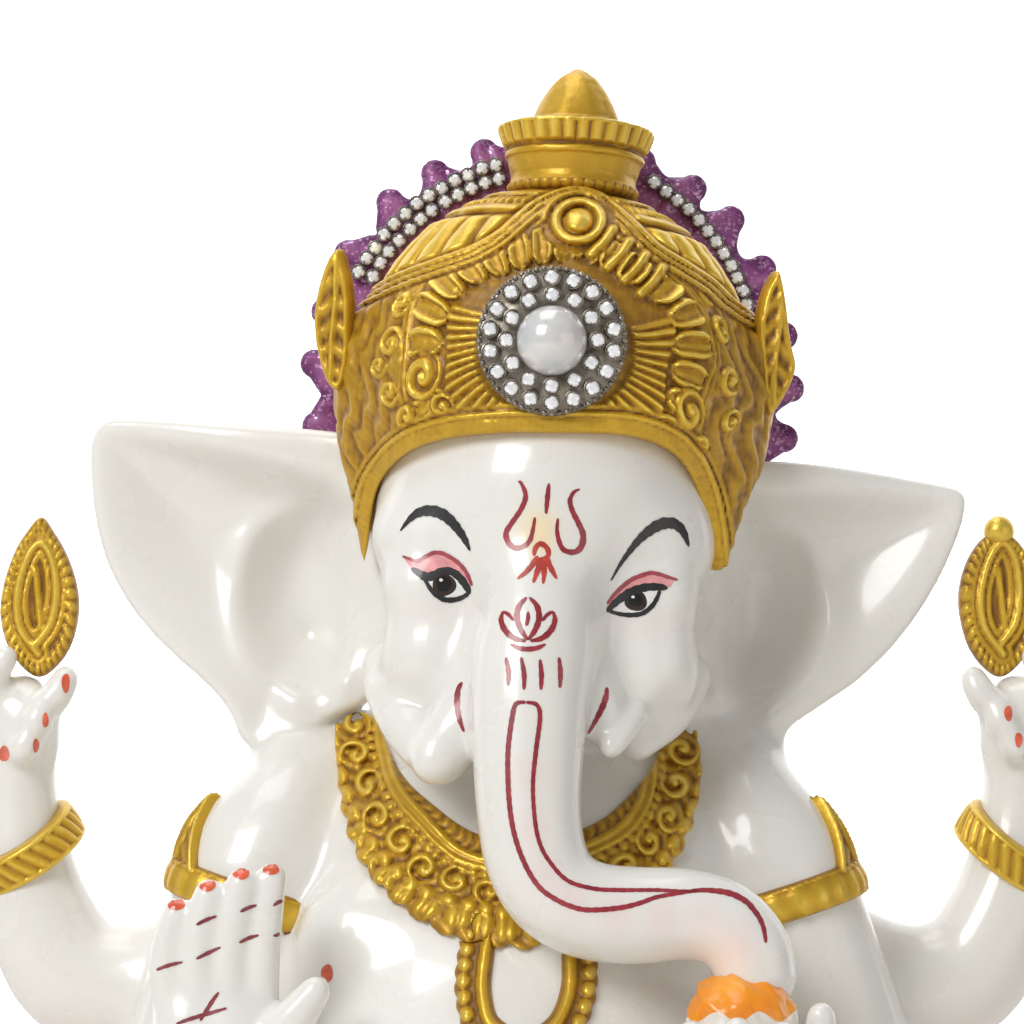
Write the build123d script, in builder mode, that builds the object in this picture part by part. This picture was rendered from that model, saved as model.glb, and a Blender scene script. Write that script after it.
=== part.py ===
from build123d import *
import math
import os

# Seated elephant-headed devotional idol, 228 mm tall, built from separately cast resin parts
# that are pinned and glued together, with a glued pearl and rhinestone brooch, a rhinestone
# cup chain and a scalloped halo behind the crown.
#
# Frame: millimetres, +Z up, the figure faces -Y, +X is the figure's own left side.
# Origin: centre of the underside of the felt pad.

os.makedirs("parts", exist_ok=True)

# ---------------------------------------------------------------- driving dimensions
FELT_T = 1.5  # felt pad thickness
PLINTH_LEN, PLINTH_DEP = 176.0, 124.0  # oval plinth, across and front to back
PLINTH_TOP = 24.0
PLINTH_WALL = 5.0
BASE_PLATE_T = 3.0

HEAD_TILT = 4.5  # the head leans this many degrees towards the figure's left
CROWN_C = (5.4, -6.0, 180.0)  # centre of the crown's ellipsoids
CROWN_OUT = (30.6, 31.6, 31.8)  # tiara, outer radii
CROWN_IN = (28.6, 29.6, 30.2)  # cap, outer radii
SKULL_C, SKULL_R = (4.0, -8.0, 162.0), (25.6, 26.6, 27.0)
FACE_C, FACE_R = (3.0, -10.0, 147.0), (22.0, 20.0, 20.0)

HALO_C = (5.0, 6.5, 184.0)  # centre of the halo's ellipse, at the back of the crown
HALO_RX, HALO_RZ = 33.9, 33.9  # ellipse through the scallops' centres
HALO_T = 3.0
SCALLOP_R = 3.9
SCALLOP_AT = [209, 195, 182, 168, 152, 138, 124, 110, 97, 84, 71, 59, 46, 31, 16, 2, -11, -24]
SCALLOP_FROM, SCALLOP_TO = 209.0, -24.0  # degrees, from +X towards +Z

BROOCH_C = (4.5, -39.0, 185.1)
BROOCH_R = 10.6
PEARL_R = 5.0  # a 10 mm half pearl
STONE_R = 1.05  # 2.1 mm rhinestones (SS6)
CUP_R = 1.25

# trunk centre line: x, y, z, radius
TRUNK = [
    (3.6, -22.0, 158.0, 11.2),
    (2.8, -28.5, 150.0, 9.9),
    (1.4, -33.0, 141.0, 8.8),
    (0.7, -36.0, 133.0, 8.0),
    (0.7, -38.0, 124.0, 7.4),
    (1.4, -39.2, 116.0, 7.1),
    (4.2, -39.8, 109.2, 6.95),
    (9.4, -40.0, 105.4, 6.9),
    (16.0, -40.0, 104.4, 6.8),
    (23.0, -40.2, 105.0, 6.3),
    (28.8, -40.8, 103.8, 6.1),
    (32.2, -41.3, 100.8, 6.0),
    (33.2, -41.6, 97.6, 5.8),
]
# ears, seen from the front: x, z
EAR_R = [
    (-20.0, 172.5), (-26.0, 174.7), (-40.0, 176.0), (-51.8, 177.2), (-61.5, 177.5), (-63.6, 175.0),
    (-64.0, 171.3), (-63.4, 163.8), (-61.5, 156.4), (-58.5, 150.5), (-54.8, 145.7), (-50.3, 141.3),
    (-45.6, 137.1), (-42.8, 133.4), (-41.4, 128.8), (-37.7, 129.6), (-32.5, 132.0), (-27.4, 135.4),
    (-21.0, 139.5), (-17.5, 147.0), (-17.0, 160.0),
]
EAR_L = [
    (24.0, 170.5), (32.0, 170.6), (41.6, 170.4), (52.0, 169.3), (62.4, 167.7), (66.0, 167.0),
    (66.5, 165.0), (65.1, 159.4), (61.6, 152.0), (56.5, 144.6), (50.5, 138.6), (44.6, 134.5),
    (39.4, 130.9), (38.6, 127.4), (32.7, 128.8), (27.5, 133.2), (23.5, 140.0), (22.0, 150.0),
    (22.5, 160.0),
]
# gold trim outlines on the chest, seen from the front: x, z
BIB_OUT = [(-26.9, 134.0), (-26.6, 127.7), (-25.0, 118.0), (-22.1, 112.0), (-17.1, 106.3), (-11.0, 102.4),
           (0.0, 100.6), (10.5, 102.6), (17.5, 107.0), (23.0, 114.5), (25.4, 120.6), (26.0, 128.0), (25.6, 134.0)]
BIB_IN = [(20.4, 134.0), (19.6, 127.0), (15.6, 121.5), (11.0, 117.6), (0.0, 115.2), (-7.0, 116.4),
          (-12.0, 119.8), (-17.8, 125.2), (-21.6, 134.0)]

# ---------------------------------------------------------------- small shape helpers


def ellipsoid(centre, radii, rotation=(0, 0, 0)):
    with BuildPart() as egg:
        Sphere(1)
        scale(by=radii)
    return egg.part.moved(Location(centre, rotation))


def limb(stations, aside=(0, 1, 0)):
    """A tube lofted through circles; each station is x, y, z, radius."""
    n = len(stations)
    with BuildPart() as tube:
        for i, (x, y, z, r) in enumerate(stations):
            before, after = stations[max(i - 1, 0)], stations[min(i + 1, n - 1)]
            along = Vector(*(b - a for a, b in zip(before[:3], after[:3]))).normalized()
            side = Vector(*aside)
            side = (side - along * side.dot(along)).normalized()
            with BuildSketch(Plane(origin=(x, y, z), x_dir=side, z_dir=along)):
                Circle(r)
        loft()
    return tube.part


def capsule(a, b, r, r_end=None):
    """A finger or toe: a short cone with a rounded end at b."""
    r_end = r_end or r
    axis = Vector(*b) - Vector(*a)
    with BuildPart(Plane(origin=a, z_dir=axis)) as bone:
        Cone(r, r_end, axis.length, align=(Align.CENTER, Align.CENTER, Align.MIN))
        with Locations((0, 0, axis.length)):
            Sphere(r_end)
    return bone.part


def rod(a, b, r):
    axis = Vector(*b) - Vector(*a)
    with BuildPart(Plane(origin=a, z_dir=axis)) as pin:
        Cylinder(r, axis.length, align=(Align.CENTER, Align.CENTER, Align.MIN))
    return pin.part


def ring(centre, axis, bore, outer, width):
    """A bangle with a rounded outside, square to axis."""
    with BuildPart(Plane(origin=centre, z_dir=axis)) as bangle:
        Cylinder(outer, width)
        Cylinder(bore, width, mode=Mode.SUBTRACT)
        fillet(bangle.edges().filter_by(GeomType.CIRCLE).group_by(SortBy.RADIUS)[-1], min(width * 0.4, (outer - bore) * 0.7))
    return bangle.part


def slab(outline, y_from, y_to):
    """A plate whose outline is drawn in X and Z, from y_from to y_to."""
    with BuildPart() as plate:
        with BuildSketch(Plane(origin=(0, y_to, 0), x_dir=(1, 0, 0), z_dir=(0, -1, 0))):
            with BuildLine():
                Spline([(x, z) for x, z in outline], periodic=True)
            make_face()
        extrude(amount=y_to - y_from)
    return plate.part


def poly_slab(outline, y_from, y_to):
    with BuildPart() as plate:
        with BuildSketch(Plane(origin=(0, y_to, 0), x_dir=(1, 0, 0), z_dir=(0, -1, 0))):
            with BuildLine():
                Polyline([(x, z) for x, z in outline], close=True)
            make_face()
        extrude(amount=y_to - y_from)
    return plate.part


def mirrored(p):
    return (-p[0],) + tuple(p[1:])


def one(part):
    """The part's largest solid, as a part: booleans of curved bodies can shed crumbs."""
    return Part() + max(part.solids(), key=lambda s: s.volume)


# ---------------------------------------------------------------- base
with BuildPart() as felt_pad:
    with BuildSketch():
        Ellipse(PLINTH_LEN / 2 - 6, PLINTH_DEP / 2 - 6)
    extrude(amount=FELT_T)

with BuildPart() as plinth:
    with BuildSketch(Plane.XY.offset(FELT_T)):
        Ellipse(PLINTH_LEN / 2, PLINTH_DEP / 2)
    extrude(amount=5)
    with BuildSketch(Plane.XY.offset(FELT_T + 5)):
        Ellipse(PLINTH_LEN / 2 - 3, PLINTH_DEP / 2 - 3)
    with BuildSketch(Plane.XY.offset(14)):
        Ellipse(PLINTH_LEN / 2 - 8, PLINTH_DEP / 2 - 8)
    with BuildSketch(Plane.XY.offset(PLINTH_TOP)):
        Ellipse(PLINTH_LEN / 2 - 5, PLINTH_DEP / 2 - 5)
    loft()
    with BuildSketch(Plane.XY.offset(FELT_T)):
        Ellipse(PLINTH_LEN / 2 - 8 - PLINTH_WALL, PLINTH_DEP / 2 - 8 - PLINTH_WALL)
    extrude(amount=PLINTH_TOP - FELT_T - PLINTH_WALL, mode=Mode.SUBTRACT)

with BuildPart() as base_plate:
    with BuildSketch(Plane.XY.offset(FELT_T)):
        Ellipse(PLINTH_LEN / 2 - 8 - PLINTH_WALL - 0.1, PLINTH_DEP / 2 - 8 - PLINTH_WALL - 0.1)
    extrude(amount=BASE_PLATE_T)

# ---------------------------------------------------------------- torso and legs
TORSO = [  # z, half width, half depth, y of centre
    (40.0, 40.0, 33.0, 2.0),
    (52.0, 44.0, 38.0, -3.0),
    (68.0, 45.0, 41.0, -6.0),
    (85.0, 41.0, 37.0, -6.0),
    (100.0, 37.5, 30.0, -3.0),
    (112.0, 36.0, 26.0, -1.0),
    (122.0, 31.0, 21.5, 1.0),
    (131.0, 22.0, 17.0, 2.0),
    (138.0, 15.0, 13.0, 3.0),
]


def torso_shape(grow=0.0):
    with BuildPart() as body:
        for z, rx, ry, cy in TORSO:
            with BuildSketch(Plane.XY.offset(z)) as section:
                with Locations((0, cy)):
                    Ellipse(rx + grow, ry + grow)
        loft()
    return body.part


print("torso")
torso_solid = torso_shape()
torso_cavity = ellipsoid((0, -4, 74), (34, 29, 27))
neck_dowel_solid = rod((2, 1, 118), (2, 1, 152), 5.0)
seat_pins = [rod((x, 4, 34), (x, 4, 50), 3.0) for x in (-22, 22)]

arm_pins = {s: rod((k * 26, -5, 112), (k * 41, -5, 112), 2.5) for s, k in (("right", -1), ("left", 1))}
rear_pins = {s: rod((k * 28, 8.6, 100.4), (k * 46, 9.6, 97.5), 2.5) for s, k in (("right", -1), ("left", 1))}

with BuildPart() as torso:
    add(torso_solid)
    add(torso_cavity, mode=Mode.SUBTRACT)
    add(neck_dowel_solid, mode=Mode.SUBTRACT)
    for pin in seat_pins + list(arm_pins.values()) + list(rear_pins.values()):
        add(pin, mode=Mode.SUBTRACT)

with BuildPart() as legs:
    # dhoti and folded legs: a lap, two knees and two crossed shins, cut flat where they sit on the plinth
    for z, rx, ry, cy in [(PLINTH_TOP, 56, 43, 1), (34, 58, 44, 0), (46, 52, 41, 1), (57, 43, 36, 1)]:
        with BuildSketch(Plane.XY.offset(z)):
            with Locations((0, cy)):
                Ellipse(rx, ry)
    loft()
    for k in (-1, 1):
        add(ellipsoid((k * 55.0, -10.0, 39.0), (21.0, 26.0, 16.5), (0, 0, k * 32)))
        add(ellipsoid((k * 27.0, -35.0, 33.0), (33.0, 12.5, 11.0), (0, 0, k * 17)))
    with Locations((0, 0, PLINTH_TOP)):
        Box(200, 200, 60, align=(Align.CENTER, Align.CENTER, Align.MAX), mode=Mode.SUBTRACT)
    add(torso_solid, mode=Mode.SUBTRACT)
    for pin in seat_pins:
        add(pin, mode=Mode.SUBTRACT)

with BuildPart() as right_foot:
    add(ellipsoid((4.0, -47.0, 33.5), (13.0, 6.4, 5.2), (0, 0, -12)))
    for i in range(5):
        add(capsule((14.5 + 0.4 * i, -47.0 + 1.2 * i, 36.2 - 1.6 * i), (18.6 - 0.5 * i, -47.6 + 1.1 * i, 36.4 - 1.9 * i), 1.9 - 0.12 * i, 1.7 - 0.1 * i))
    add(legs.part, mode=Mode.SUBTRACT)

with BuildPart() as left_foot:
    add(ellipsoid((-26.0, -46.0, 29.0), (13.0, 6.0, 4.8), (0, 0, -14)))
    for i in range(5):
        add(capsule((-37.5 + 0.3 * i, -44.6 - 0.6 * i, 31.4 - 1.0 * i), (-41.2 + 0.6 * i, -44.0 - 0.8 * i, 31.4 - 1.1 * i), 1.8 - 0.1 * i, 1.6 - 0.1 * i))
    add(legs.part, mode=Mode.SUBTRACT)
    with Locations((0, 0, PLINTH_TOP)):
        Box(200, 200, 60, align=(Align.CENTER, Align.CENTER, Align.MAX), mode=Mode.SUBTRACT)

with BuildPart() as seat_dowels:
    for pin in seat_pins:
        add(pin)

with BuildPart() as neck_dowel:
    add(neck_dowel_solid)

# ---------------------------------------------------------------- head with trunk
print("head")
trunk_solid = limb(TRUNK)
ear_pins = {
    "right": rod((-30, 2, 156), (-14, 0, 156), 1.5),
    "left": rod((34, 2, 154), (18, 0, 154), 1.5),
}
with BuildPart() as head:
    add(ellipsoid(SKULL_C, SKULL_R, (0, HEAD_TILT, 0)))
    add(ellipsoid(FACE_C, FACE_R))
    add(ellipsoid((-12.0, -22.0, 143.5), (8.6, 9.0, 9.6)))
    add(ellipsoid((16.6, -22.0, 141.5), (8.4, 9.0, 9.6)))
    add(trunk_solid)
    add(torso_solid, mode=Mode.SUBTRACT)
    add(neck_dowel_solid, mode=Mode.SUBTRACT)
    for pin in ear_pins.values():
        add(pin, mode=Mode.SUBTRACT)
head_solid = one(head.part)

with BuildPart() as right_tusk:
    add(capsule((-12.0, -28.0, 134.5), (-11.8, -35.0, 126.5), 3.6, 3.0))
    add(head_solid, mode=Mode.SUBTRACT)
with BuildPart() as left_tusk:
    add(capsule((14.0, -28.0, 133.5), (13.6, -34.0, 128.8), 3.2, 2.6))
    add(head_solid, mode=Mode.SUBTRACT)

# ---------------------------------------------------------------- ears
print("ears")
with BuildPart() as right_ear:
    add(slab(EAR_R, -3.0, 4.0))
    add(limb([(-26.0, -2.4, 171.6, 3.4), (-34.0, -3.6, 172.4, 3.6), (-44.0, -4.4, 173.4, 3.6), (-53.0, -4.4, 174.0, 3.3), (-60.6, -3.6, 174.2, 2.6)]))
    add(ear_pins["right"], mode=Mode.SUBTRACT)
    add(head_solid, mode=Mode.SUBTRACT)
    add(torso_solid, mode=Mode.SUBTRACT)
with BuildPart() as left_ear:
    add(slab(EAR_L, -3.0, 4.0))
    add(limb([(31.0, -2.4, 167.4, 3.2), (39.0, -3.6, 167.0, 3.3), (48.0, -4.4, 166.0, 3.3), (56.0, -4.4, 165.0, 3.0), (63.0, -3.6, 164.2, 2.4)]))
    add(ear_pins["left"], mode=Mode.SUBTRACT)
    add(head_solid, mode=Mode.SUBTRACT)
    add(torso_solid, mode=Mode.SUBTRACT)
with BuildPart() as right_ear_pin:
    add(ear_pins["right"])
with BuildPart() as left_ear_pin:
    add(ear_pins["left"])

# ---------------------------------------------------------------- arms
print("arms")
UPPER = [(-33.0, -5.0, 118.0, 10.0), (-37.5, -5.0, 109.0, 12.0), (-43.5, -4.0, 95.0, 10.6), (-49.0, -2.0, 81.0, 9.4)]
FOREARM = [(-50.0, -1.0, 79.5, 9.2), (-49.6, -12.0, 76.5, 8.6), (-47.0, -24.0, 76.5, 7.2), (-44.4, -33.0, 80.0, 6.0), (-43.4, -37.4, 86.0, 5.6)]
L_FOREARM = [(50.0, -1.0, 79.5, 9.2), (49.6, -12.0, 77.5, 8.6), (46.0, -24.0, 78.0, 7.2), (40.5, -33.5, 80.0, 6.0), (35.0, -39.5, 82.0, 5.4)]
REAR = [(-37.0, 9.0, 101.0, 9.5), (-48.0, 10.0, 95.5, 9.6), (-60.0, 10.5, 93.0, 9.4)]
REAR_UP = [(-68.4, 10.5, 96.5, 9.0), (-72.2, 10.5, 105.0, 8.0), (-74.4, 10.4, 113.5, 6.9), (-75.0, 10.0, 122.5, 5.7), (-74.6, 10.0, 130.0, 5.6)]
FINGERS_R = [  # base, tip, radius at base and tip
    ((-49.4, -38.4, 96.5), (-47.6, -39.6, 104.6), 2.3, 2.0),
    ((-45.4, -38.8, 97.2), (-43.6, -40.2, 107.4), 2.4, 2.1),
    ((-41.0, -38.8, 97.8), (-39.3, -40.4, 108.8), 2.4, 2.1),
    ((-36.8, -38.6, 97.6), (-35.2, -40.0, 109.0), 2.4, 2.1),
    ((-35.4, -40.0, 88.5), (-28.2, -42.0, 95.2), 3.0, 2.2),
]
FINGERS_L = [
    ((26.0, -45.5, 81.0), (23.8, -51.6, 88.6), 2.7, 2.2),
    ((30.0, -47.0, 81.0), (29.6, -53.2, 89.2), 2.7, 2.3),
    ((34.4, -46.5, 81.0), (35.0, -52.2, 88.4), 2.7, 2.2),
    ((38.0, -43.0, 82.0), (41.4, -47.0, 90.0), 2.9, 2.2),
]
palm_R = ellipsoid((-42.8, -37.6, 91.0), (9.4, 4.6, 10.4))
palm_L = ellipsoid((32.0, -43.0, 81.0), (10.0, 8.5, 5.2))
LADDU_C, LADDU_R = (30.8, -43.0, 89.4), 8.3  # the sweet the trunk reaches for


def front_arm(side, upper, forearm, palm, fingers, pin):
    k = -1 if side == "right" else 1
    with BuildPart() as arm:
        add(limb(upper))
        add(ellipsoid((k * 35.0, -4.6, 112.5), (12.2, 12.4, 14.0)))
        add(limb(forearm, aside=(0, 0, 1)))
        with Locations((k * 50.0, -1.2, 79.6)):
            Sphere(9.5)
        add(palm)
        for a, b, r, r2 in fingers:
            add(capsule(a, b, r, r2))
        add(torso_solid, mode=Mode.SUBTRACT)
        add(head_solid, mode=Mode.SUBTRACT)
        add(pin, mode=Mode.SUBTRACT)
    return one(arm.part)


right_arm_solid = front_arm("right", UPPER, FOREARM, palm_R, FINGERS_R, arm_pins["right"])
left_arm_solid = front_arm("left", [mirrored(s) for s in UPPER], L_FOREARM, palm_L, FINGERS_L, arm_pins["left"])
with BuildPart() as laddu:
    with Locations(LADDU_C):
        Sphere(LADDU_R)
laddu_ball = laddu.part
left_arm_solid = one(left_arm_solid - laddu_ball)
with BuildPart() as laddu:
    add(laddu_ball)
    add(head_solid, mode=Mode.SUBTRACT)


def rear_arm(k, pin, blockers):
    m = (lambda s: s) if k < 0 else mirrored
    fist = (k * 73.8, 8.6, 133.5)
    with BuildPart() as arm:
        add(limb([m(s) for s in REAR]))
        with Locations((k * 62.5, 10.5, 94.2)):
            Sphere(9.5)
        add(limb([m(s) for s in REAR_UP]))
        add(ellipsoid(fist, (7.2, 7.0, 7.2)))
        add(capsule((k * 71.0, 3.0, 134.0), (k * 66.4, 4.4, 137.6), 2.3, 1.9))
        add(pin, mode=Mode.SUBTRACT)
        add(torso_solid, mode=Mode.SUBTRACT)
        for b in blockers:
            add(b, mode=Mode.SUBTRACT)
    return one(arm.part)


rear_right_solid = rear_arm(-1, rear_pins["right"], [right_arm_solid])
rear_left_solid = rear_arm(1, rear_pins["left"], [left_arm_solid])


# leaf-shaped finials held in the rear hands, each with a tenon down into the fist
def leaf_finial(k):
    cx = k * 72.0
    outline = [(cx, 164.0), (cx + 3.4, 160.6), (cx + 5.6, 156.0), (cx + 6.4, 150.6), (cx + 5.6, 144.6),
               (cx + 3.8, 139.6), (cx, 138.6), (cx - 3.8, 139.6), (cx - 5.6, 144.6), (cx - 6.4, 150.6),
               (cx - 5.6, 156.0), (cx - 3.4, 160.6)]
    return slab(outline, 6.0, 12.0), rod((cx, 9.0, 130.0), (cx, 9.0, 142.0), 2.0)


with BuildPart() as right_hand_finial:
    leaf, tenon = leaf_finial(-1)
    add(leaf)
    add(tenon)
with BuildPart() as left_hand_finial:
    leaf, tenon = leaf_finial(1)
    add(leaf)
    add(tenon)
with BuildPart() as rear_right_arm:
    add(rear_right_solid)
    add(right_hand_finial.part, mode=Mode.SUBTRACT)
with BuildPart() as rear_left_arm:
    add(rear_left_solid)
    add(left_hand_finial.part, mode=Mode.SUBTRACT)

with BuildPart() as front_arm_pins:
    for pin in arm_pins.values():
        add(pin)
with BuildPart() as rear_arm_pins:
    for pin in rear_pins.values():
        add(pin)

# ---------------------------------------------------------------- bangles and armlets
print("bangles")


def bangle(centre, axis, bore, outer, width, arm):
    with BuildPart() as band:
        add(ring(centre, axis, bore, outer, width))
        add(arm, mode=Mode.SUBTRACT)
        add(torso_solid, mode=Mode.SUBTRACT)
    return band.part


with BuildPart() as rear_right_bangle:
    add(bangle((-73.9, 10.4, 111.6), (-0.16, 0, 1), 5.8, 9.0, 5.4, rear_right_solid))
with BuildPart() as rear_left_bangle:
    add(bangle((73.9, 10.4, 111.6), (0.16, 0, 1), 5.8, 9.0, 5.4, rear_left_solid))
with BuildPart() as front_right_bangle:
    add(bangle((-45.4, -30.2, 78.6), (0.24, -0.9, 0.4), 5.4, 8.8, 4.6, right_arm_solid))
with BuildPart() as front_left_bangle:
    add(bangle((42.9, -29.8, 79.0), (-0.5, -0.86, 0.2), 5.4, 8.8, 4.6, left_arm_solid))


def armlet(k, arm):
    with BuildPart() as band:
        add(ring((k * 39.6, -4.6, 104.6), (k * 0.4, 0.06, -0.92), 8.0, 13.4, 4.6))
        add(slab([(k * 40.6, 121.6), (k * 44.4, 116.6), (k * 50.2, 108.6), (k * 50.0, 104.6), (k * 45.4, 103.6), (k * 43.6, 110.6)], -9.0, -1.0))
        add(arm, mode=Mode.SUBTRACT)
        add(torso_solid, mode=Mode.SUBTRACT)
    return one(band.part)


with BuildPart() as right_armlet:
    add(armlet(-1, right_arm_solid))
    add(rear_right_solid, mode=Mode.SUBTRACT)
with BuildPart() as left_armlet:
    add(armlet(1, left_arm_solid))
    add(rear_left_solid, mode=Mode.SUBTRACT)

# ---------------------------------------------------------------- necklace and hanging loop
print("necklace")
torso_skin = torso_shape(1.8)
with BuildPart() as necklace:
    with BuildSketch(Plane(origin=(0, 0, 0), x_dir=(1, 0, 0), z_dir=(0, -1, 0))):
        with BuildLine():
            a = Spline([(x, z) for x, z in BIB_OUT])
            b = Spline([(x, z) for x, z in BIB_IN])
            Line(a @ 1, b @ 0)
            Line(b @ 1, a @ 0)
        make_face()
    extrude(amount=60)
    add(torso_skin, mode=Mode.INTERSECT)
    add(torso_solid, mode=Mode.SUBTRACT)
    add(head_solid, mode=Mode.SUBTRACT)
    add(right_arm_solid, mode=Mode.SUBTRACT)
    add(left_arm_solid, mode=Mode.SUBTRACT)
with BuildPart() as hanging_loop:
    with BuildSketch(Plane(origin=(0, 0, 0), x_dir=(1, 0, 0), z_dir=(0, -1, 0))):
        with Locations((0.7, 93.4)):
            Ellipse(9.6, 9.4)
            Ellipse(5.6, 5.4, mode=Mode.SUBTRACT)
        with Locations((0.7, 103.0)):
            Rectangle(30, 8.6, mode=Mode.SUBTRACT)
    extrude(amount=70)
    add(torso_skin, mode=Mode.INTERSECT)
    add(torso_solid, mode=Mode.SUBTRACT)
    add(necklace.part, mode=Mode.SUBTRACT)

# ---------------------------------------------------------------- crown
print("crown")
finial_pin_solid = rod((7.6, -5.6, 203.0), (8.2, -5.2, 217.0), 2.0)
crown_outer = ellipsoid(CROWN_C, CROWN_OUT, (0, HEAD_TILT, 0))
crown_inner = ellipsoid(CROWN_C, CROWN_IN, (0, HEAD_TILT, 0))
ARCH = [(-26.5, 140.0), (-24.0, 150.0), (-21.2, 157.6), (-18.2, 163.6), (-14.0, 168.4), (-9.0, 171.2), (-2.0, 172.8),
        (5.6, 173.2), (13.0, 172.8), (19.6, 171.0), (24.6, 167.0), (28.0, 161.8), (30.4, 156.6), (34.0, 140.0)]
TIARA_TOP = [(60.0, 196.0), (36.0, 197.0), (29.0, 197.6), (22.0, 202.0), (14.0, 207.6), (7.6, 209.2), (1.0, 207.6),
             (-7.0, 203.0), (-15.0, 200.6), (-24.0, 198.0), (-50.0, 195.0)]
with BuildPart() as crown_cap:
    add(crown_inner)
    with Locations((5, -6, 166)):
        Box(90, 90, 26, align=(Align.CENTER, Align.CENTER, Align.MAX), mode=Mode.SUBTRACT)
    add(head_solid, mode=Mode.SUBTRACT)
    add(poly_slab(ARCH + [(34.0, 120.0), (-26.5, 120.0)], -60.0, -8.0), mode=Mode.SUBTRACT)
    add(finial_pin_solid, mode=Mode.SUBTRACT)
    add(right_ear.part, mode=Mode.SUBTRACT)
    add(left_ear.part, mode=Mode.SUBTRACT)
crown_cap_solid = one(crown_cap.part)
with BuildPart() as crown_tiara:
    add(crown_outer)
    add(crown_inner, mode=Mode.SUBTRACT)
    add(poly_slab(ARCH + [(34.0, 120.0), (-26.5, 120.0)], -60.0, -2.0), mode=Mode.SUBTRACT)
    add(poly_slab(TIARA_TOP + [(-50.0, 230.0), (60.0, 230.0)], -60.0, 60.0), mode=Mode.SUBTRACT)
    with Locations((5, -2.0, 180)):
        Box(120, 80, 120, align=(Align.CENTER, Align.MIN, Align.CENTER), mode=Mode.SUBTRACT)
    with Locations((5, -6, 157.0)):
        Box(120, 120, 40, align=(Align.CENTER, Align.CENTER, Align.MAX), mode=Mode.SUBTRACT)
    add(head_solid, mode=Mode.SUBTRACT)
    add(right_ear.part, mode=Mode.SUBTRACT)
    add(left_ear.part, mode=Mode.SUBTRACT)
crown_tiara_solid = one(crown_tiara.part)
with BuildPart() as crown_finial:
    with BuildSketch(Plane(origin=(8.0, -6.0, 209.4), x_dir=(1, 0, -0.047), z_dir=(0, -1, 0.06))):
        with BuildLine():
            Polyline([(0, 0), (9.6, 0), (9.7, 3.2), (10.3, 5.2), (10.7, 7.4), (11.2, 9.6), (11.0, 10.4), (8.4, 10.9),
                      (7.1, 11.4), (6.4, 13.0), (5.2, 15.4), (3.4, 17.9), (1.6, 19.3), (0.0, 19.5)], close=True)
        make_face()
    revolve(axis=Axis((8.0, -6.0, 209.4), (0.047, 0.06, 1)))
    add(crown_inner, mode=Mode.SUBTRACT)
    add(crown_outer, mode=Mode.SUBTRACT)
    add(finial_pin_solid, mode=Mode.SUBTRACT)
with BuildPart() as finial_pin:
    add(finial_pin_solid)


def wing(cx, cz, lean):
    outline = [(cx - lean * 0.5, cz + 11.6), (cx + 2.6, cz + 6.5), (cx + 3.3, cz), (cx + 2.8, cz - 6.0), (cx + lean, cz - 11.4),
               (cx - 2.8, cz - 6.0), (cx - 3.3, cz), (cx - 2.6, cz + 6.5)]
    return slab(outline, -12.0, 1.0)


with BuildPart() as right_crown_wing:
    add(wing(-26.8, 189.8, 1.2))
    add(crown_outer, mode=Mode.SUBTRACT)
with BuildPart() as left_crown_wing:
    add(wing(36.9, 187.2, -1.2))
    add(crown_outer, mode=Mode.SUBTRACT)

# ---------------------------------------------------------------- halo with cup chain
print("halo")


def halo_point(deg, rx, rz, out=0.0):
    a = math.radians(deg)
    x, z = (rx + out) * math.cos(a), (rz + out) * math.sin(a)
    t = math.radians(HEAD_TILT)
    return HALO_C[0] + x * math.cos(t) + z * math.sin(t), HALO_C[2] - x * math.sin(t) + z * math.cos(t)


with BuildPart() as halo_frill:
    with BuildSketch(Plane(origin=(0, HALO_C[1] + HALO_T, 0), x_dir=(1, 0, 0), z_dir=(0, -1, 0))):
        with BuildLine():
            outer = [halo_point(SCALLOP_FROM + 3 + (SCALLOP_TO - SCALLOP_FROM - 6) * i / 24, HALO_RX, HALO_RZ) for i in range(25)]
            inner = [halo_point(SCALLOP_FROM + 3 + (SCALLOP_TO - SCALLOP_FROM - 6) * i / 24, HALO_RX - 11, HALO_RZ - 11) for i in range(25)]
            a = Spline(outer)
            b = Spline(list(reversed(inner)))
            Line(a @ 1, b @ 0)
            Line(b @ 1, a @ 0)
        make_face()
        with Locations([halo_point(d, HALO_RX, HALO_RZ) for d in SCALLOP_AT]):
            Circle(SCALLOP_R)
    extrude(amount=HALO_T)
    add(crown_inner, mode=Mode.SUBTRACT)
    add(head_solid, mode=Mode.SUBTRACT)
    add(right_ear.part, mode=Mode.SUBTRACT)
    add(left_ear.part, mode=Mode.SUBTRACT)
halo_solid = one(halo_frill.part)

chain = [halo_point(156 - 3.9 * i, 33.1, 33.1) for i in range(13)] + [halo_point(155 - 4.15 * i, 30.9, 30.9) for i in range(12)]
chain += [halo_point(67 - 3.8 * i, 33.0 - 0.18 * i, 33.0 - 0.18 * i) for i in range(12)]
CHAIN_Y = HALO_C[1]
with BuildPart() as chain_cups:
    with BuildSketch(Plane(origin=(0, CHAIN_Y, 0), x_dir=(1, 0, 0), z_dir=(0, -1, 0))):
        with Locations(chain):
            Circle(1.0)
    extrude(amount=1.0)
    add(crown_outer, mode=Mode.SUBTRACT)
with BuildPart(Plane(origin=(0, CHAIN_Y - 1.0, 0), x_dir=(1, 0, 0), z_dir=(0, -1, 0))) as stone_rows:
    with Locations([(x, z, 0) for x, z in chain]):
        Cone(0.85, 0.5, 0.8, align=(Align.CENTER, Align.CENTER, Align.MIN))
with BuildPart() as chain_stones:
    add(stone_rows.part)
    add(crown_outer, mode=Mode.SUBTRACT)

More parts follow.
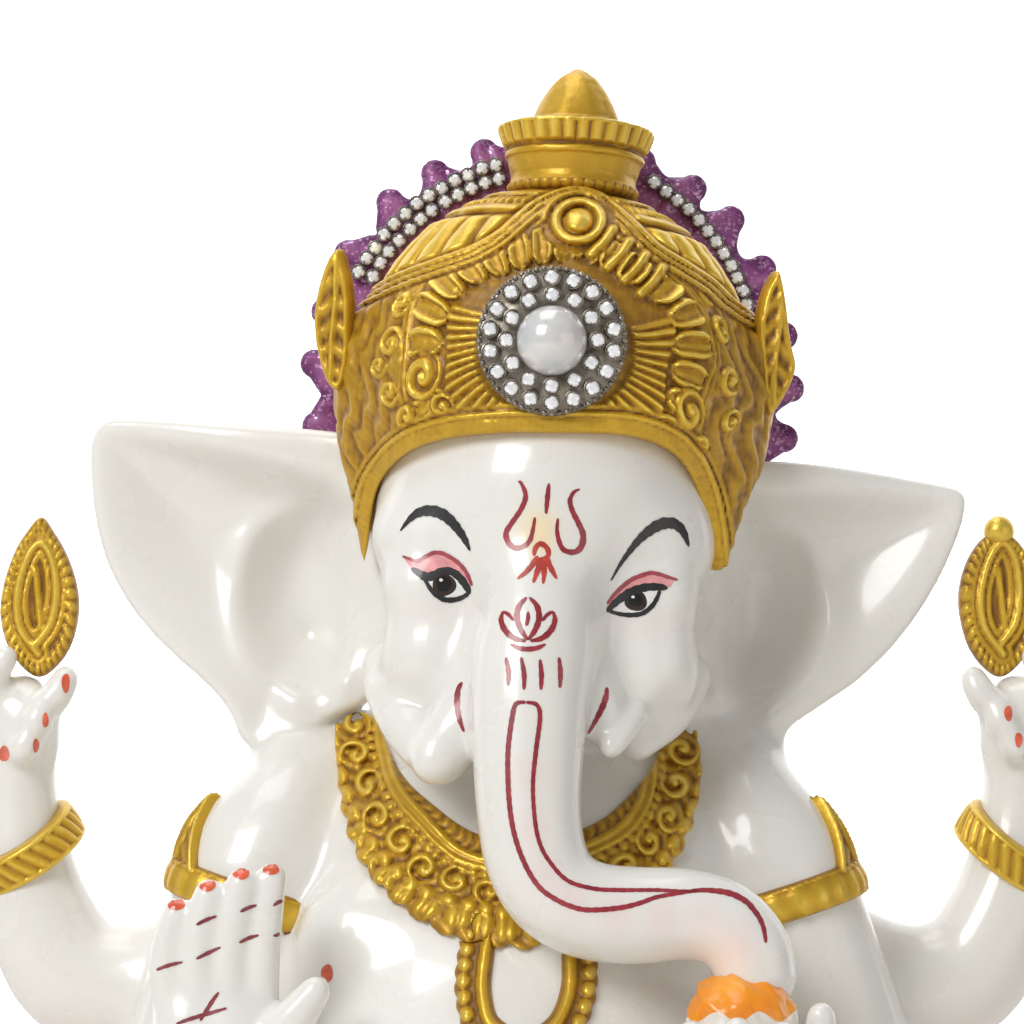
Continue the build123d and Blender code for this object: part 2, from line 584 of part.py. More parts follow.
# ---------------------------------------------------------------- brooch
print("brooch")
bx, by, bz = BROOCH_C
FRONT = dict(x_dir=(1, 0, 0), z_dir=(0, -1, 0))
with BuildPart() as brooch_disc:
    with BuildSketch(Plane(origin=(bx, by + 4.0, bz), **FRONT)):
        Circle(BROOCH_R)
    extrude(amount=4.0)
    fillet(brooch_disc.faces().sort_by(Axis.Y)[0].edges(), 0.8)
    add(crown_outer, mode=Mode.SUBTRACT)
brooch_ring = [(bx + 8.9 * math.cos(math.tau * (i + 0.5) / 18), bz + 8.9 * math.sin(math.tau * (i + 0.5) / 18)) for i in range(18)]
brooch_ring += [(bx + 6.45 * math.cos(math.tau * i / 12), bz + 6.45 * math.sin(math.tau * i / 12)) for i in range(12)]
with BuildPart() as brooch_cups:
    with BuildSketch(Plane(origin=(bx, by, bz), **FRONT)):
        with Locations([(x - bx, z - bz) for x, z in brooch_ring]):
            Circle(CUP_R)
    extrude(amount=0.8)
with BuildPart(Plane(origin=(bx, by - 0.8, bz), **FRONT)) as brooch_stones:
    with Locations([(x - bx, z - bz, 0) for x, z in brooch_ring]):
        Cone(STONE_R, 0.6, 0.9, align=(Align.CENTER, Align.CENTER, Align.MIN))
with BuildPart() as brooch_pearl:
    with Locations((bx, by, bz)):
        Sphere(PEARL_R)
    with Locations((bx, by, bz)):
        Box(20, 20, 20, align=(Align.CENTER, Align.MIN, Align.CENTER), mode=Mode.SUBTRACT)

# ---------------------------------------------------------------- clean-up between neighbours, then write
print("clean-up")
with BuildPart() as crown_tiara_cut:
    add(crown_tiara_solid)
    add(brooch_disc.part, mode=Mode.SUBTRACT)
    add(right_crown_wing.part, mode=Mode.SUBTRACT)
    add(left_crown_wing.part, mode=Mode.SUBTRACT)
    add(halo_solid, mode=Mode.SUBTRACT)

FINISHED = {
    "felt_pad": felt_pad.part,
    "base_plate": base_plate.part,
    "plinth": plinth.part,
    "legs": legs.part,
    "right_foot": one(right_foot.part),
    "left_foot": one(left_foot.part),
    "torso": torso.part,
    "seat_dowels": seat_dowels.part,
    "neck_dowel": neck_dowel.part,
    "head": head_solid,
    "right_tusk": one(right_tusk.part),
    "left_tusk": one(left_tusk.part),
    "right_ear": one(right_ear.part),
    "left_ear": one(left_ear.part),
    "right_ear_pin": right_ear_pin.part,
    "left_ear_pin": left_ear_pin.part,
    "front_right_arm": right_arm_solid,
    "front_left_arm": left_arm_solid,
    "rear_right_arm": one(rear_right_arm.part),
    "rear_left_arm": one(rear_left_arm.part),
    "front_arm_pins": front_arm_pins.part,
    "rear_arm_pins": rear_arm_pins.part,
    "right_hand_finial": right_hand_finial.part,
    "left_hand_finial": left_hand_finial.part,
    "rear_right_bangle": one(rear_right_bangle.part),
    "rear_left_bangle": one(rear_left_bangle.part),
    "front_right_bangle": one(front_right_bangle.part),
    "front_left_bangle": one(front_left_bangle.part),
    "right_armlet": one(right_armlet.part),
    "left_armlet": one(left_armlet.part),
    "laddu": one(laddu.part),
    "necklace": necklace.part,
    "hanging_loop": hanging_loop.part,
    "crown_cap": crown_cap_solid,
    "crown_tiara": one(crown_tiara_cut.part),
    "crown_finial": one(crown_finial.part),
    "finial_pin": finial_pin.part,
    "right_crown_wing": one(right_crown_wing.part),
    "left_crown_wing": one(left_crown_wing.part),
    "halo_frill": halo_solid,
    "chain_cups": chain_cups.part,
    "chain_stones": chain_stones.part,
    "brooch_disc": one(brooch_disc.part),
    "brooch_cups": brooch_cups.part,
    "brooch_stones": brooch_stones.part,
    "brooch_pearl": brooch_pearl.part,
}
for name, part in FINISHED.items():
    part.label = name
    export_step(part, f"parts/{name}.step")
print("written", len(FINISHED))
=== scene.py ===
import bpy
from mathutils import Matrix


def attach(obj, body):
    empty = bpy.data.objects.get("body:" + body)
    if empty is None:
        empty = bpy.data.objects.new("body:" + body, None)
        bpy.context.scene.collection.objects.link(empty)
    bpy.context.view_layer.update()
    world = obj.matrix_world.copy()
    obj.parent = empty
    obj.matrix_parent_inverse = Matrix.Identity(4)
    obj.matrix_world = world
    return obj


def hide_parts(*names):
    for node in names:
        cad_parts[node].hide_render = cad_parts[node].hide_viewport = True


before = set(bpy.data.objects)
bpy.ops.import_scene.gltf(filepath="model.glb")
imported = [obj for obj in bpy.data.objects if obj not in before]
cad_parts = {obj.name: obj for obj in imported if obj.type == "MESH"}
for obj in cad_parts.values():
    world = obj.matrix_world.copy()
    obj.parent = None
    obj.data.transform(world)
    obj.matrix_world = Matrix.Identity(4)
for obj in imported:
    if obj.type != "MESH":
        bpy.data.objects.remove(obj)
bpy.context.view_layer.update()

import math
import bmesh
import bpy
import numpy as np
from mathutils import Matrix, Vector
from mathutils.bvhtree import BVHTree

# Everything below is worked out in millimetres in the row frame and written to Blender in metres.
MM = 0.001
F32 = np.float32


# ------------------------------------------------------------------ distance-field sculpting
def smin(a, b, k):
    if k <= 0:
        return np.minimum(a, b)
    h = np.clip(0.5 + 0.5 * (b - a) / k, 0, 1)
    return b + (a - b) * h - k * h * (1 - h)


def smax(a, b, k):
    return -smin(-a, -b, k)


def smooth(e0, e1, x):
    t = np.clip((x - e0) / (e1 - e0), 0, 1)
    return t * t * (3 - 2 * t)


def euler(rx=0, ry=0, rz=0):
    return np.array(Matrix.Rotation(math.radians(rz), 3, "Z") @ Matrix.Rotation(math.radians(ry), 3, "Y") @ Matrix.Rotation(math.radians(rx), 3, "X"))


def ell(c, r, rot=(0, 0, 0)):
    """Ellipsoid as (low, high, distance function)."""
    c, r = np.array(c, float), np.array(r, float)
    R = euler(*rot)
    e = np.sqrt(((R * r) ** 2).sum(1))

    def fn(x, y, z):
        p = [x - c[0], y - c[1], z - c[2]]
        q = [R[0, i] * p[0] + R[1, i] * p[1] + R[2, i] * p[2] for i in range(3)]
        k0 = np.sqrt((q[0] / r[0]) ** 2 + (q[1] / r[1]) ** 2 + (q[2] / r[2]) ** 2)
        k1 = np.sqrt((q[0] / r[0] ** 2) ** 2 + (q[1] / r[1] ** 2) ** 2 + (q[2] / r[2] ** 2) ** 2)
        return (k0 * (k0 - 1) / np.maximum(k1, 1e-6)).astype(F32)

    return c - e, c + e, fn


def catmull(pts, n):
    """A smooth run through the points, n steps to each span."""
    p = np.array(pts, float)
    ext = np.vstack([2 * p[0] - p[1], p, 2 * p[-1] - p[-2]])
    out = []
    for i in range(len(p) - 1):
        a, b, c, d = ext[i : i + 4]
        for j in range(n):
            t = j / n
            out.append(0.5 * (2 * b + (c - a) * t + (2 * a - 5 * b + 4 * c - d) * t * t + (3 * b - a - 3 * c + d) * t**3))
    out.append(p[-1])
    return np.array(out)


def tube(pts, n=5):
    """A limb along (x, y, z, radius) points."""
    q = catmull(pts, n)
    lo, hi = (q[:, :3] - q[:, 3:4]).min(0), (q[:, :3] + q[:, 3:4]).max(0)

    def fn(x, y, z):
        best = None
        for a, b in zip(q[:-1], q[1:]):
            d = b[:3] - a[:3]
            L2 = max(float(d @ d), 1e-9)
            t = np.clip(((x - a[0]) * d[0] + (y - a[1]) * d[1] + (z - a[2]) * d[2]) / L2, 0, 1)
            v = np.sqrt((x - a[0] - t * d[0]) ** 2 + (y - a[1] - t * d[1]) ** 2 + (z - a[2] - t * d[2]) ** 2) - (a[3] + t * (b[3] - a[3]))
            best = v if best is None else np.minimum(best, v)
        return best.astype(F32)

    return lo, hi, fn


def poly2d(poly, X, Z):
    """Signed distance to a closed outline in the X-Z plane, negative inside."""
    p = np.array(poly, float)
    d2 = np.full(np.broadcast(X, Z).shape, 1e9)
    inside = np.zeros(d2.shape, bool)
    for (ax, az), (bx, bz) in zip(p, np.roll(p, -1, 0)):
        ex, ez = bx - ax, bz - az
        t = np.clip(((X - ax) * ex + (Z - az) * ez) / max(ex * ex + ez * ez, 1e-12), 0, 1)
        d2 = np.minimum(d2, (X - ax - t * ex) ** 2 + (Z - az - t * ez) ** 2)
        cross = (az > Z) != (bz > Z)
        inside ^= cross & (X < (bx - ax) * (Z - az) / (bz - az if bz != az else 1e-9) + ax)
    d = np.sqrt(d2)
    return np.where(inside, -d, d)


def path2d(path, X, Z):
    """(distance to an open path, length along it at the nearest point, signed offset to its left)."""
    p = np.array(path, float)
    best = np.full(np.broadcast(X, Z).shape, 1e9)
    along = np.zeros(best.shape)
    side = np.zeros(best.shape)
    run = 0.0
    for (ax, az), (bx, bz) in zip(p[:-1], p[1:]):
        ex, ez = bx - ax, bz - az
        L = math.hypot(ex, ez)
        t = np.clip(((X - ax) * ex + (Z - az) * ez) / max(L * L, 1e-12), 0, 1)
        dx, dz = X - ax - t * ex, Z - az - t * ez
        d = np.hypot(dx, dz)
        m = d < best
        best = np.where(m, d, best)
        along = np.where(m, run + t * L, along)
        side = np.where(m, np.sign(ex * dz - ez * dx) * d, side)
        run += L
    return best, along, side


def closed(outline, n=6):
    """A closed smooth outline through the points."""
    p = list(outline)
    return catmull([p[-1]] + p + [p[0], p[1]], n)[n:-n]


class Grid:
    """A box of distance samples on a lattice that all grids of one pitch share."""

    def __init__(s, lo, hi, h, far=14.0):
        s.h, s.far = h, far
        s.i0 = np.floor(np.array(lo, float) / h).astype(int)
        s.i1 = np.ceil(np.array(hi, float) / h).astype(int) + 1
        s.F = np.full(tuple(s.i1 - s.i0), far, F32)
        s.lab = s.best = None

    def axes(s, a=None, b=None):
        a = s.i0 if a is None else a
        b = s.i1 if b is None else b
        return (
            (np.arange(a[0], b[0]) * s.h).astype(F32)[:, None, None],
            (np.arange(a[1], b[1]) * s.h).astype(F32)[None, :, None],
            (np.arange(a[2], b[2]) * s.h).astype(F32)[None, None, :],
        )

    def window(s, lo, hi, pad):
        a = np.maximum(np.floor((np.array(lo) - pad) / s.h).astype(int), s.i0)
        b = np.minimum(np.ceil((np.array(hi) + pad) / s.h).astype(int) + 1, s.i1)
        if (b <= a).any():
            return None
        return tuple(slice(a[i] - s.i0[i], b[i] - s.i0[i]) for i in range(3)), s.axes(a, b)

    def add(s, prim, k=0.0):
        w = s.window(prim[0], prim[1], k + 3 * s.h + 1)
        if w:
            s.F[w[0]] = smin(s.F[w[0]], prim[2](*w[1]), k)
        return s

    def cut(s, prim, k=0.0):
        w = s.window(prim[0], prim[1], k + 3 * s.h + 1)
        if w:
            s.F[w[0]] = smax(s.F[w[0]], -prim[2](*w[1]), k)
        return s

    def clip(s, fn, k=0.0):
        s.F = smax(s.F, fn(*s.axes()).astype(F32), k).astype(F32)
        return s

    def merge(s, g, k=0.0, label=None):
        a, b = np.maximum(s.i0, g.i0), np.minimum(s.i1, g.i1)
        ss = tuple(slice(a[i] - s.i0[i], b[i] - s.i0[i]) for i in range(3))
        gs = tuple(slice(a[i] - g.i0[i], b[i] - g.i0[i]) for i in range(3))
        d = g.F[gs]
        if label is not None:
            if s.lab is None:
                s.lab = np.zeros(s.F.shape, np.int8)
                s.best = np.full(s.F.shape, s.far, F32)
            m = d < s.best[ss]
            s.best[ss][m] = d[m]
            s.lab[ss][m] = label
        s.F[ss] = smin(s.F[ss], d, k)
        return s

    def sub(s, g, k=0.0, grow=0.0):
        a, b = np.maximum(s.i0, g.i0), np.minimum(s.i1, g.i1)
        if (b <= a).any():
            return s
        ss = tuple(slice(a[i] - s.i0[i], b[i] - s.i0[i]) for i in range(3))
        gs = tuple(slice(a[i] - g.i0[i], b[i] - g.i0[i]) for i in range(3))
        s.F[ss] = smax(s.F[ss], grow - g.F[gs], k)
        return s

    def sample(s, p, F=None):
        """Trilinear samples at points p."""
        F = s.F if F is None else F
        q = p / s.h - s.i0
        q = np.clip(q, 0, np.array(s.F.shape) - 1.001)
        i = np.floor(q).astype(int)
        f = q - i
        out = 0
        for dx in (0, 1):
            for dy in (0, 1):
                for dz in (0, 1):
                    w = (f[:, 0] if dx else 1 - f[:, 0]) * (f[:, 1] if dy else 1 - f[:, 1]) * (f[:, 2] if dz else 1 - f[:, 2])
                    out = out + w * F[i[:, 0] + dx, i[:, 1] + dy, i[:, 2] + dz]
        return out

    def normals(s, p, e=None):
        e = e or s.h
        g = np.stack([s.sample(p + np.eye(3)[i] * e) - s.sample(p - np.eye(3)[i] * e) for i in range(3)], 1)
        n = np.linalg.norm(g, axis=1, keepdims=True)
        return g / np.maximum(n, 1e-9), n[:, 0] / (2 * e)

    def surface(s, polish=2):
        """Naive surface nets over the zero level: (vertices, quads, normals)."""
        F = s.F
        ins = F < 0
        nx, ny, nz = F.shape
        c = np.zeros((nx - 1, ny - 1, nz - 1), np.int8)
        for dx in (0, 1):
            for dy in (0, 1):
                for dz in (0, 1):
                    c += ins[dx : nx - 1 + dx, dy : ny - 1 + dy, dz : nz - 1 + dz]
        cells = np.argwhere((c > 0) & (c < 8))
        idx = np.full(c.shape, -1, np.int32)
        idx[cells[:, 0], cells[:, 1], cells[:, 2]] = np.arange(len(cells))
        corner = {}
        for dx in (0, 1):
            for dy in (0, 1):
                for dz in (0, 1):
                    corner[dx, dy, dz] = F[cells[:, 0] + dx, cells[:, 1] + dy, cells[:, 2] + dz].astype(np.float64)
        tot, cnt = np.zeros((len(cells), 3)), np.zeros(len(cells))
        for a in corner:
            for axis in range(3):
                if a[axis]:
                    continue
                b = tuple(1 if i == axis else a[i] for i in range(3))
                fa, fb = corner[a], corner[b]
                m = (fa < 0) != (fb < 0)
                t = np.where(m, fa / np.where(m, fa - fb, 1), 0)
                pt = np.tile(np.array(a, float), (len(cells), 1))
                pt[:, axis] += t
                tot += pt * m[:, None]
                cnt += m
        verts = (cells + tot / cnt[:, None] + s.i0) * s.h
        quads = []
        for axis in range(3):
            u, v = [(1, 2), (2, 0), (0, 1)][axis]
            lo = [slice(None)] * 3
            hi = [slice(None)] * 3
            lo[axis], hi[axis] = slice(0, -1), slice(1, None)
            lo[u] = hi[u] = slice(1, -1)
            lo[v] = hi[v] = slice(1, -1)
            A, B = ins[tuple(lo)], ins[tuple(hi)]
            for flip, m in ((False, A & ~B), (True, B & ~A)):
                e = np.argwhere(m)
                e[:, u] += 1
                e[:, v] += 1
                q = []
                for du, dv in ((-1, -1), (0, -1), (0, 0), (-1, 0)):
                    k = e.copy()
                    k[:, u] += du
                    k[:, v] += dv
                    q.append(idx[k[:, 0], k[:, 1], k[:, 2]])
                q = np.stack(q, 1)
                quads.append(q[:, ::-1] if flip else q)
        quads = np.vstack(quads)
        quads = quads[(quads >= 0).all(1)]
        for _ in range(polish):
            n, g = s.normals(verts, 0.5 * s.h)
            step = s.sample(verts) / np.maximum(g, 0.3)
            verts -= n * np.clip(step, -0.6 * s.h, 0.6 * s.h)[:, None]
        n, _ = s.normals(verts)
        return verts, quads, n


def mesh_object(name, verts, faces, material, node=None, smooth_shade=True, normals=None, attrs=None, nodes=()):
    me = bpy.data.meshes.new(name)
    verts = np.asarray(verts, float) * MM
    if isinstance(faces, np.ndarray):
        k = faces.shape[1]
        me.vertices.add(len(verts))
        me.vertices.foreach_set("co", verts.astype(F32).ravel())
        me.loops.add(faces.size)
        me.loops.foreach_set("vertex_index", faces.astype(np.int32).ravel())
        me.polygons.add(len(faces))
        me.polygons.foreach_set("loop_start", np.arange(0, faces.size, k, dtype=np.int32))
        me.polygons.foreach_set("loop_total", np.full(len(faces), k, np.int32))
        me.update(calc_edges=True)
    else:
        me.from_pydata([tuple(v) for v in verts], [], [tuple(int(i) for i in f) for f in faces])
        me.update(calc_edges=True)
    me.validate(clean_customdata=False)
    me.polygons.foreach_set("use_smooth", np.full(len(me.polygons), smooth_shade, bool))
    for key, val in (attrs or {}).items():
        val = np.asarray(val, F32)
        if val.ndim == 1:
            a = me.attributes.new(key, "FLOAT", "POINT")
            a.data.foreach_set("value", val)
        else:
            a = me.attributes.new(key, "FLOAT_COLOR", "POINT")
            a.data.foreach_set("color", np.hstack([val, np.ones((len(val), 1), F32)]).astype(F32).ravel())
    if normals is not None and smooth_shade:
        me.normals_split_custom_set_from_vertices(normals.astype(F32))
    me.materials.append(material)
    ob = bpy.data.objects.new(name, me)
    bpy.context.scene.collection.objects.link(ob)
    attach(ob, "root")
    stands = ([node] if node else []) + list(nodes)
    if stands:
        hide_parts(*stands)
    return ob


def pick(verts, quads, normals, keep, attrs=None):
    """The sub-mesh of the kept quads."""
    q = quads[keep]
    used, inv = np.unique(q, return_inverse=True)
    return verts[used], inv.reshape(q.shape), normals[used], {k: v[used] for k, v in (attrs or {}).items()}


def noise3(p, freq, seed=0):
    """Cheap smooth noise from summed sines, in -1..1."""
    r = np.random.RandomState(seed)
    out = 0
    for _ in range(6):
        d = r.normal(size=3)
        d /= np.linalg.norm(d)
        out = out + np.sin((p @ d) * freq * r.uniform(0.7, 1.4) + r.uniform(0, 6.28))
    return out / 3.0


# ------------------------------------------------------------------ materials
class Mat:
    """A small helper round a node tree with one Principled shader."""

    def __init__(s, name):
        s.m = bpy.data.materials.new(name)
        s.m.use_nodes = True
        s.t = s.m.node_tree
        s.n = s.t.nodes
        s.b = s.n["Principled BSDF"]
        s.pos = s.node("ShaderNodeTexCoord").outputs["Object"]

    def node(s, kind, **props):
        nd = s.n.new(kind)
        for k, v in props.items():
            setattr(nd, k, v)
        return nd

    def link(s, a, b):
        s.t.links.new(a, b)

    def put(s, socket, value):
        if isinstance(value, bpy.types.NodeSocket):
            s.link(value, s.b.inputs[socket])
        else:
            s.b.inputs[socket].default_value = value
        return s

    def noise(s, scale, detail=4, rough=0.55, out="Fac"):
        nd = s.node("ShaderNodeTexNoise")
        nd.inputs["Scale"].default_value = scale
        nd.inputs["Detail"].default_value = detail
        nd.inputs["Roughness"].default_value = rough
        s.link(s.pos, nd.inputs["Vector"])
        return nd.outputs[out]

    def voronoi(s, scale, out="Distance", feature="F1", rnd=1.0):
        nd = s.node("ShaderNodeTexVoronoi", feature=feature)
        nd.inputs["Scale"].default_value = scale
        nd.inputs["Randomness"].default_value = rnd
        s.link(s.pos, nd.inputs["Vector"])
        return nd.outputs[out]

    def ramp(s, fac, stops, ease="LINEAR"):
        nd = s.node("ShaderNodeValToRGB")
        nd.color_ramp.interpolation = ease
        el = nd.color_ramp.elements
        while len(el) < len(stops):
            el.new(0.5)
        for e, (p, c) in zip(el, stops):
            e.position = p
            e.color = (*c, 1) if isinstance(c, (tuple, list)) else (c, c, c, 1)
        s.link(fac, nd.inputs["Fac"])
        return nd.outputs["Color"]

    def mix(s, fac, a, b, kind="MIX"):
        nd = s.node("ShaderNodeMix", data_type="RGBA", blend_type=kind)
        for sock, v in ((nd.inputs[0], fac), (nd.inputs[6], a), (nd.inputs[7], b)):
            if isinstance(v, bpy.types.NodeSocket):
                s.link(v, sock)
            else:
                sock.default_value = (*v, 1) if isinstance(v, (tuple, list)) else v
        return nd.outputs[2]

    def math(s, op, a, b=0.0, clamp=False):
        nd = s.node("ShaderNodeMath", operation=op, use_clamp=clamp)
        for sock, v in ((nd.inputs[0], a), (nd.inputs[1], b)):
            if isinstance(v, bpy.types.NodeSocket):
                s.link(v, sock)
            else:
                sock.default_value = v
        return nd.outputs[0]

    def attr(s, name, out="Fac"):
        return s.node("ShaderNodeAttribute", attribute_name=name).outputs[out]

    def bump(s, height, dist, strength=1.0, normal=None):
        nd = s.node("ShaderNodeBump")
        nd.inputs["Strength"].default_value = strength
        nd.inputs["Distance"].default_value = dist
        s.link(height, nd.inputs["Height"])
        if normal is not None:
            s.link(normal, nd.inputs["Normal"])
        s.link(nd.outputs["Normal"], s.b.inputs["Normal"])
        return nd.outputs["Normal"]


def mat_white():
    m = Mat("white_enamel")
    tone = m.ramp(m.noise(22, 3), [(0.3, (0.985, 0.98, 0.965)), (0.7, (1, 1, 1))])
    # the tint attribute carries the airbrushed paint, the painted shade round the eyes and the painted orange light
    # under the trunk's curl
    c = m.mix(1.0, m.attr("tint", "Color"), tone, "MULTIPLY")
    speck = m.ramp(m.noise(420, 2), [(0.70, 0.0), (0.76, 1.0)])
    c = m.mix(m.math("MULTIPLY", speck, 0.10), c, (0.62, 0.58, 0.5))
    m.put("Base Color", c).put("Roughness", m.ramp(m.noise(60, 4), [(0.3, 0.23), (0.7, 0.34)]))
    m.put("Coat Weight", 0.55).put("Coat Roughness", 0.07).put("IOR", 1.5)
    m.put("Subsurface Weight", 0.12).put("Subsurface Radius", (0.0016, 0.0014, 0.0011)).put("Subsurface Scale", 1.0)
    h = m.math("ADD", m.noise(95, 3), m.math("MULTIPLY", m.noise(330, 3), 0.25))
    m.bump(h, 0.00035, 0.32)
    return m.m


def mat_gold(name="gold_paint", shift=0.0):
    m = Mat(name)
    geo = m.node("ShaderNodeNewGeometry")
    # painted shade and highlight: the gold is painted dark brown in recesses and concave spots and bright yellow on
    # raised relief and convex edges, from the stored relief height and the pointiness
    point = m.ramp(geo.outputs["Pointiness"], [(0.44, 0.0), (0.5, 0.5), (0.57, 1.0)])
    relief_shade = m.math("ADD", m.math("MULTIPLY", m.attr("relief_shade"), 0.72), m.math("MULTIPLY", point, 0.30))
    wob = m.math("MULTIPLY", m.math("SUBTRACT", m.noise(260, 4), 0.5), 0.34)
    f = m.math("ADD", relief_shade, m.math("ADD", wob, shift), clamp=True)
    base = m.ramp(f, [(0.04, (0.19, 0.088, 0.005)), (0.22, (0.41, 0.21, 0.012)), (0.48, (0.60, 0.355, 0.022)), (0.78, (0.74, 0.475, 0.038)), (1.0, (0.88, 0.65, 0.11))])
    cloud = m.ramp(m.noise(48, 3), [(0.3, (0.86, 0.83, 0.80)), (0.7, (1.05, 1.04, 1.0))])
    m.put("Base Color", m.mix(1.0, base, cloud, "MULTIPLY"))
    m.put("Metallic", m.ramp(f, [(0.1, 0.12), (0.6, 0.52)]))
    m.put("Roughness", m.ramp(m.math("ADD", m.math("MULTIPLY", f, 0.5), m.math("MULTIPLY", m.noise(300, 3), 0.5)), [(0.2, 0.56), (0.8, 0.32)]))
    m.put("Coat Weight", 0.18).put("Coat Roughness", 0.22)
    m.bump(m.math("ADD", m.noise(700, 3), m.math("MULTIPLY", m.noise(1700, 2), 0.5)), 0.00016, 0.55)
    return m.m


def mat_glitter():
    m = Mat("purple_glitter")
    cell = m.voronoi(2600, "Color")
    nd = m.node("ShaderNodeSeparateColor")
    m.link(cell, nd.inputs[0])
    spark = m.ramp(nd.outputs[0], [(0.80, 0.0), (0.84, 1.0)])
    # painted shade and light: the folds between the scallops' puffs are painted near black and the puffed tops light
    # purple
    fold = m.attr("relief_shade")
    base = m.ramp(m.math("ADD", m.math("MULTIPLY", fold, 0.6), m.math("MULTIPLY", m.noise(420, 4), 0.5)), [(0.15, (0.045, 0.008, 0.045)), (0.5, (0.18, 0.035, 0.17)), (0.85, (0.40, 0.13, 0.34))])
    c = m.mix(m.math("MULTIPLY", spark, 0.55), base, (0.72, 0.45, 0.70))
    m.put("Base Color", c).put("Metallic", m.math("MULTIPLY", spark, 0.8)).put("Roughness", m.ramp(nd.outputs[1], [(0, 0.22), (1, 0.55)]))
    m.bump(nd.outputs[2], 0.00022, 0.9)
    return m.m


def mat_crystal():
    m = Mat("clear_stone")
    c = m.ramp(m.noise(900, 2), [(0.35, (0.80, 0.82, 0.86)), (0.65, (1, 1, 0.98))])
    m.put("Base Color", c).put("Metallic", 0.35).put("Roughness", 0.06).put("IOR", 1.6)
    m.put("Coat Weight", 1.0).put("Coat Roughness", 0.02)
    # painted light: a faint bluish-white glow is given to the stones to stand in for the light sparkling in them
    m.put("Emission Color", (0.9, 0.93, 1.0, 1)).put("Emission Strength", 0.16)
    m.bump(m.noise(1500, 2), 0.00005, 0.2)
    return m.m


def mat_setting():
    m = Mat("stone_setting")
    c = m.ramp(m.noise(500, 4), [(0.3, (0.13, 0.105, 0.08)), (0.7, (0.44, 0.40, 0.34))])
    m.put("Base Color", c).put("Metallic", 0.85).put("Roughness", m.ramp(m.noise(800, 2), [(0.3, 0.25), (0.7, 0.5)]))
    m.bump(m.noise(1600, 3), 0.00008, 0.5)
    return m.m


def mat_pearl():
    m = Mat("pearl")
    c = m.ramp(m.noise(120, 3), [(0.35, (0.64, 0.60, 0.63)), (0.5, (0.74, 0.72, 0.71)), (0.65, (0.62, 0.65, 0.66))])
    m.put("Base Color", c).put("Roughness", 0.22).put("Metallic", 0.12).put("Coat Weight", 1.0).put("Coat Roughness", 0.05)
    m.put("Subsurface Weight", 0.2).put("Subsurface Radius", (0.002, 0.0018, 0.0018)).put("Subsurface Scale", 1.0)
    m.put("Sheen Weight", 0.3).put("Sheen Roughness", 0.3)
    m.bump(m.noise(600, 2), 0.00003, 0.3)
    return m.m


def mat_laddu():
    m = Mat("orange_paint")
    blob = m.ramp(m.noise(150, 3), [(0.35, (0.93, 0.29, 0.012)), (0.6, (0.97, 0.39, 0.02)), (0.8, (0.99, 0.50, 0.06))])
    whites = m.ramp(m.math("ADD", m.attr("cream"), m.math("MULTIPLY", m.math("SUBTRACT", m.noise(260, 3), 0.5), 0.55)), [(0.42, 0.0), (0.56, 1.0)])
    c = m.mix(whites, blob, (0.84, 0.80, 0.74))
    m.put("Base Color", c).put("Roughness", 0.34).put("Coat Weight", 0.4).put("Coat Roughness", 0.12)
    m.bump(m.math("ADD", m.noise(340, 3), m.noise(900, 2)), 0.0002, 0.6)
    return m.m


def mat_cloth():
    m = Mat("dhoti_paint")
    # painted shade and light: the cloth and its gold hem are painted dark in the folds between pleats and light on
    # their crests
    pleat = m.attr("relief_shade")
    c = m.ramp(m.math("ADD", m.math("MULTIPLY", pleat, 0.6), m.math("MULTIPLY", m.noise(40, 3), 0.45)), [(0.15, (0.42, 0.09, 0.012)), (0.5, (0.74, 0.23, 0.04)), (0.9, (0.88, 0.38, 0.09))])
    gold = m.ramp(m.math("ADD", m.math("MULTIPLY", pleat, 0.5), m.math("MULTIPLY", m.noise(300, 4), 0.5)), [(0.2, (0.30, 0.14, 0.008)), (0.5, (0.58, 0.34, 0.025)), (0.85, (0.84, 0.60, 0.09))])
    hem = m.ramp(m.attr("hem"), [(0.44, 0.0), (0.56, 1.0)])
    m.put("Base Color", m.mix(hem, c, gold)).put("Metallic", m.math("MULTIPLY", hem, 0.5))
    m.put("Roughness", m.ramp(m.noise(120, 3), [(0.3, 0.26), (0.7, 0.42)])).put("Coat Weight", 0.35).put("Coat Roughness", 0.12)
    m.bump(m.math("ADD", m.noise(300, 3), m.noise(900, 2)), 0.00014, 0.45)
    return m.m


def mat_plinth():
    m = Mat("plinth_paint")
    # painted shade and light: the gold bands and petals are painted dark in their hollows and bright on the raised
    # relief
    gold = m.ramp(m.math("ADD", m.math("MULTIPLY", m.attr("relief_shade"), 0.6), m.math("MULTIPLY", m.noise(260, 4), 0.45)), [(0.12, (0.18, 0.08, 0.005)), (0.45, (0.56, 0.32, 0.022)), (0.9, (0.84, 0.60, 0.09))])
    white = m.ramp(m.noise(26, 3), [(0.3, (0.80, 0.79, 0.75)), (0.7, (0.86, 0.855, 0.83))])
    hem = m.ramp(m.attr("hem"), [(0.44, 0.0), (0.56, 1.0)])
    m.put("Base Color", m.mix(hem, white, gold)).put("Metallic", m.math("MULTIPLY", hem, 0.5))
    m.put("Roughness", m.ramp(m.noise(90, 3), [(0.3, 0.22), (0.7, 0.36)])).put("Coat Weight", 0.4).put("Coat Roughness", 0.1)
    m.bump(m.math("ADD", m.noise(110, 3), m.math("MULTIPLY", m.noise(700, 2), 0.3)), 0.0003, 0.35)
    return m.m


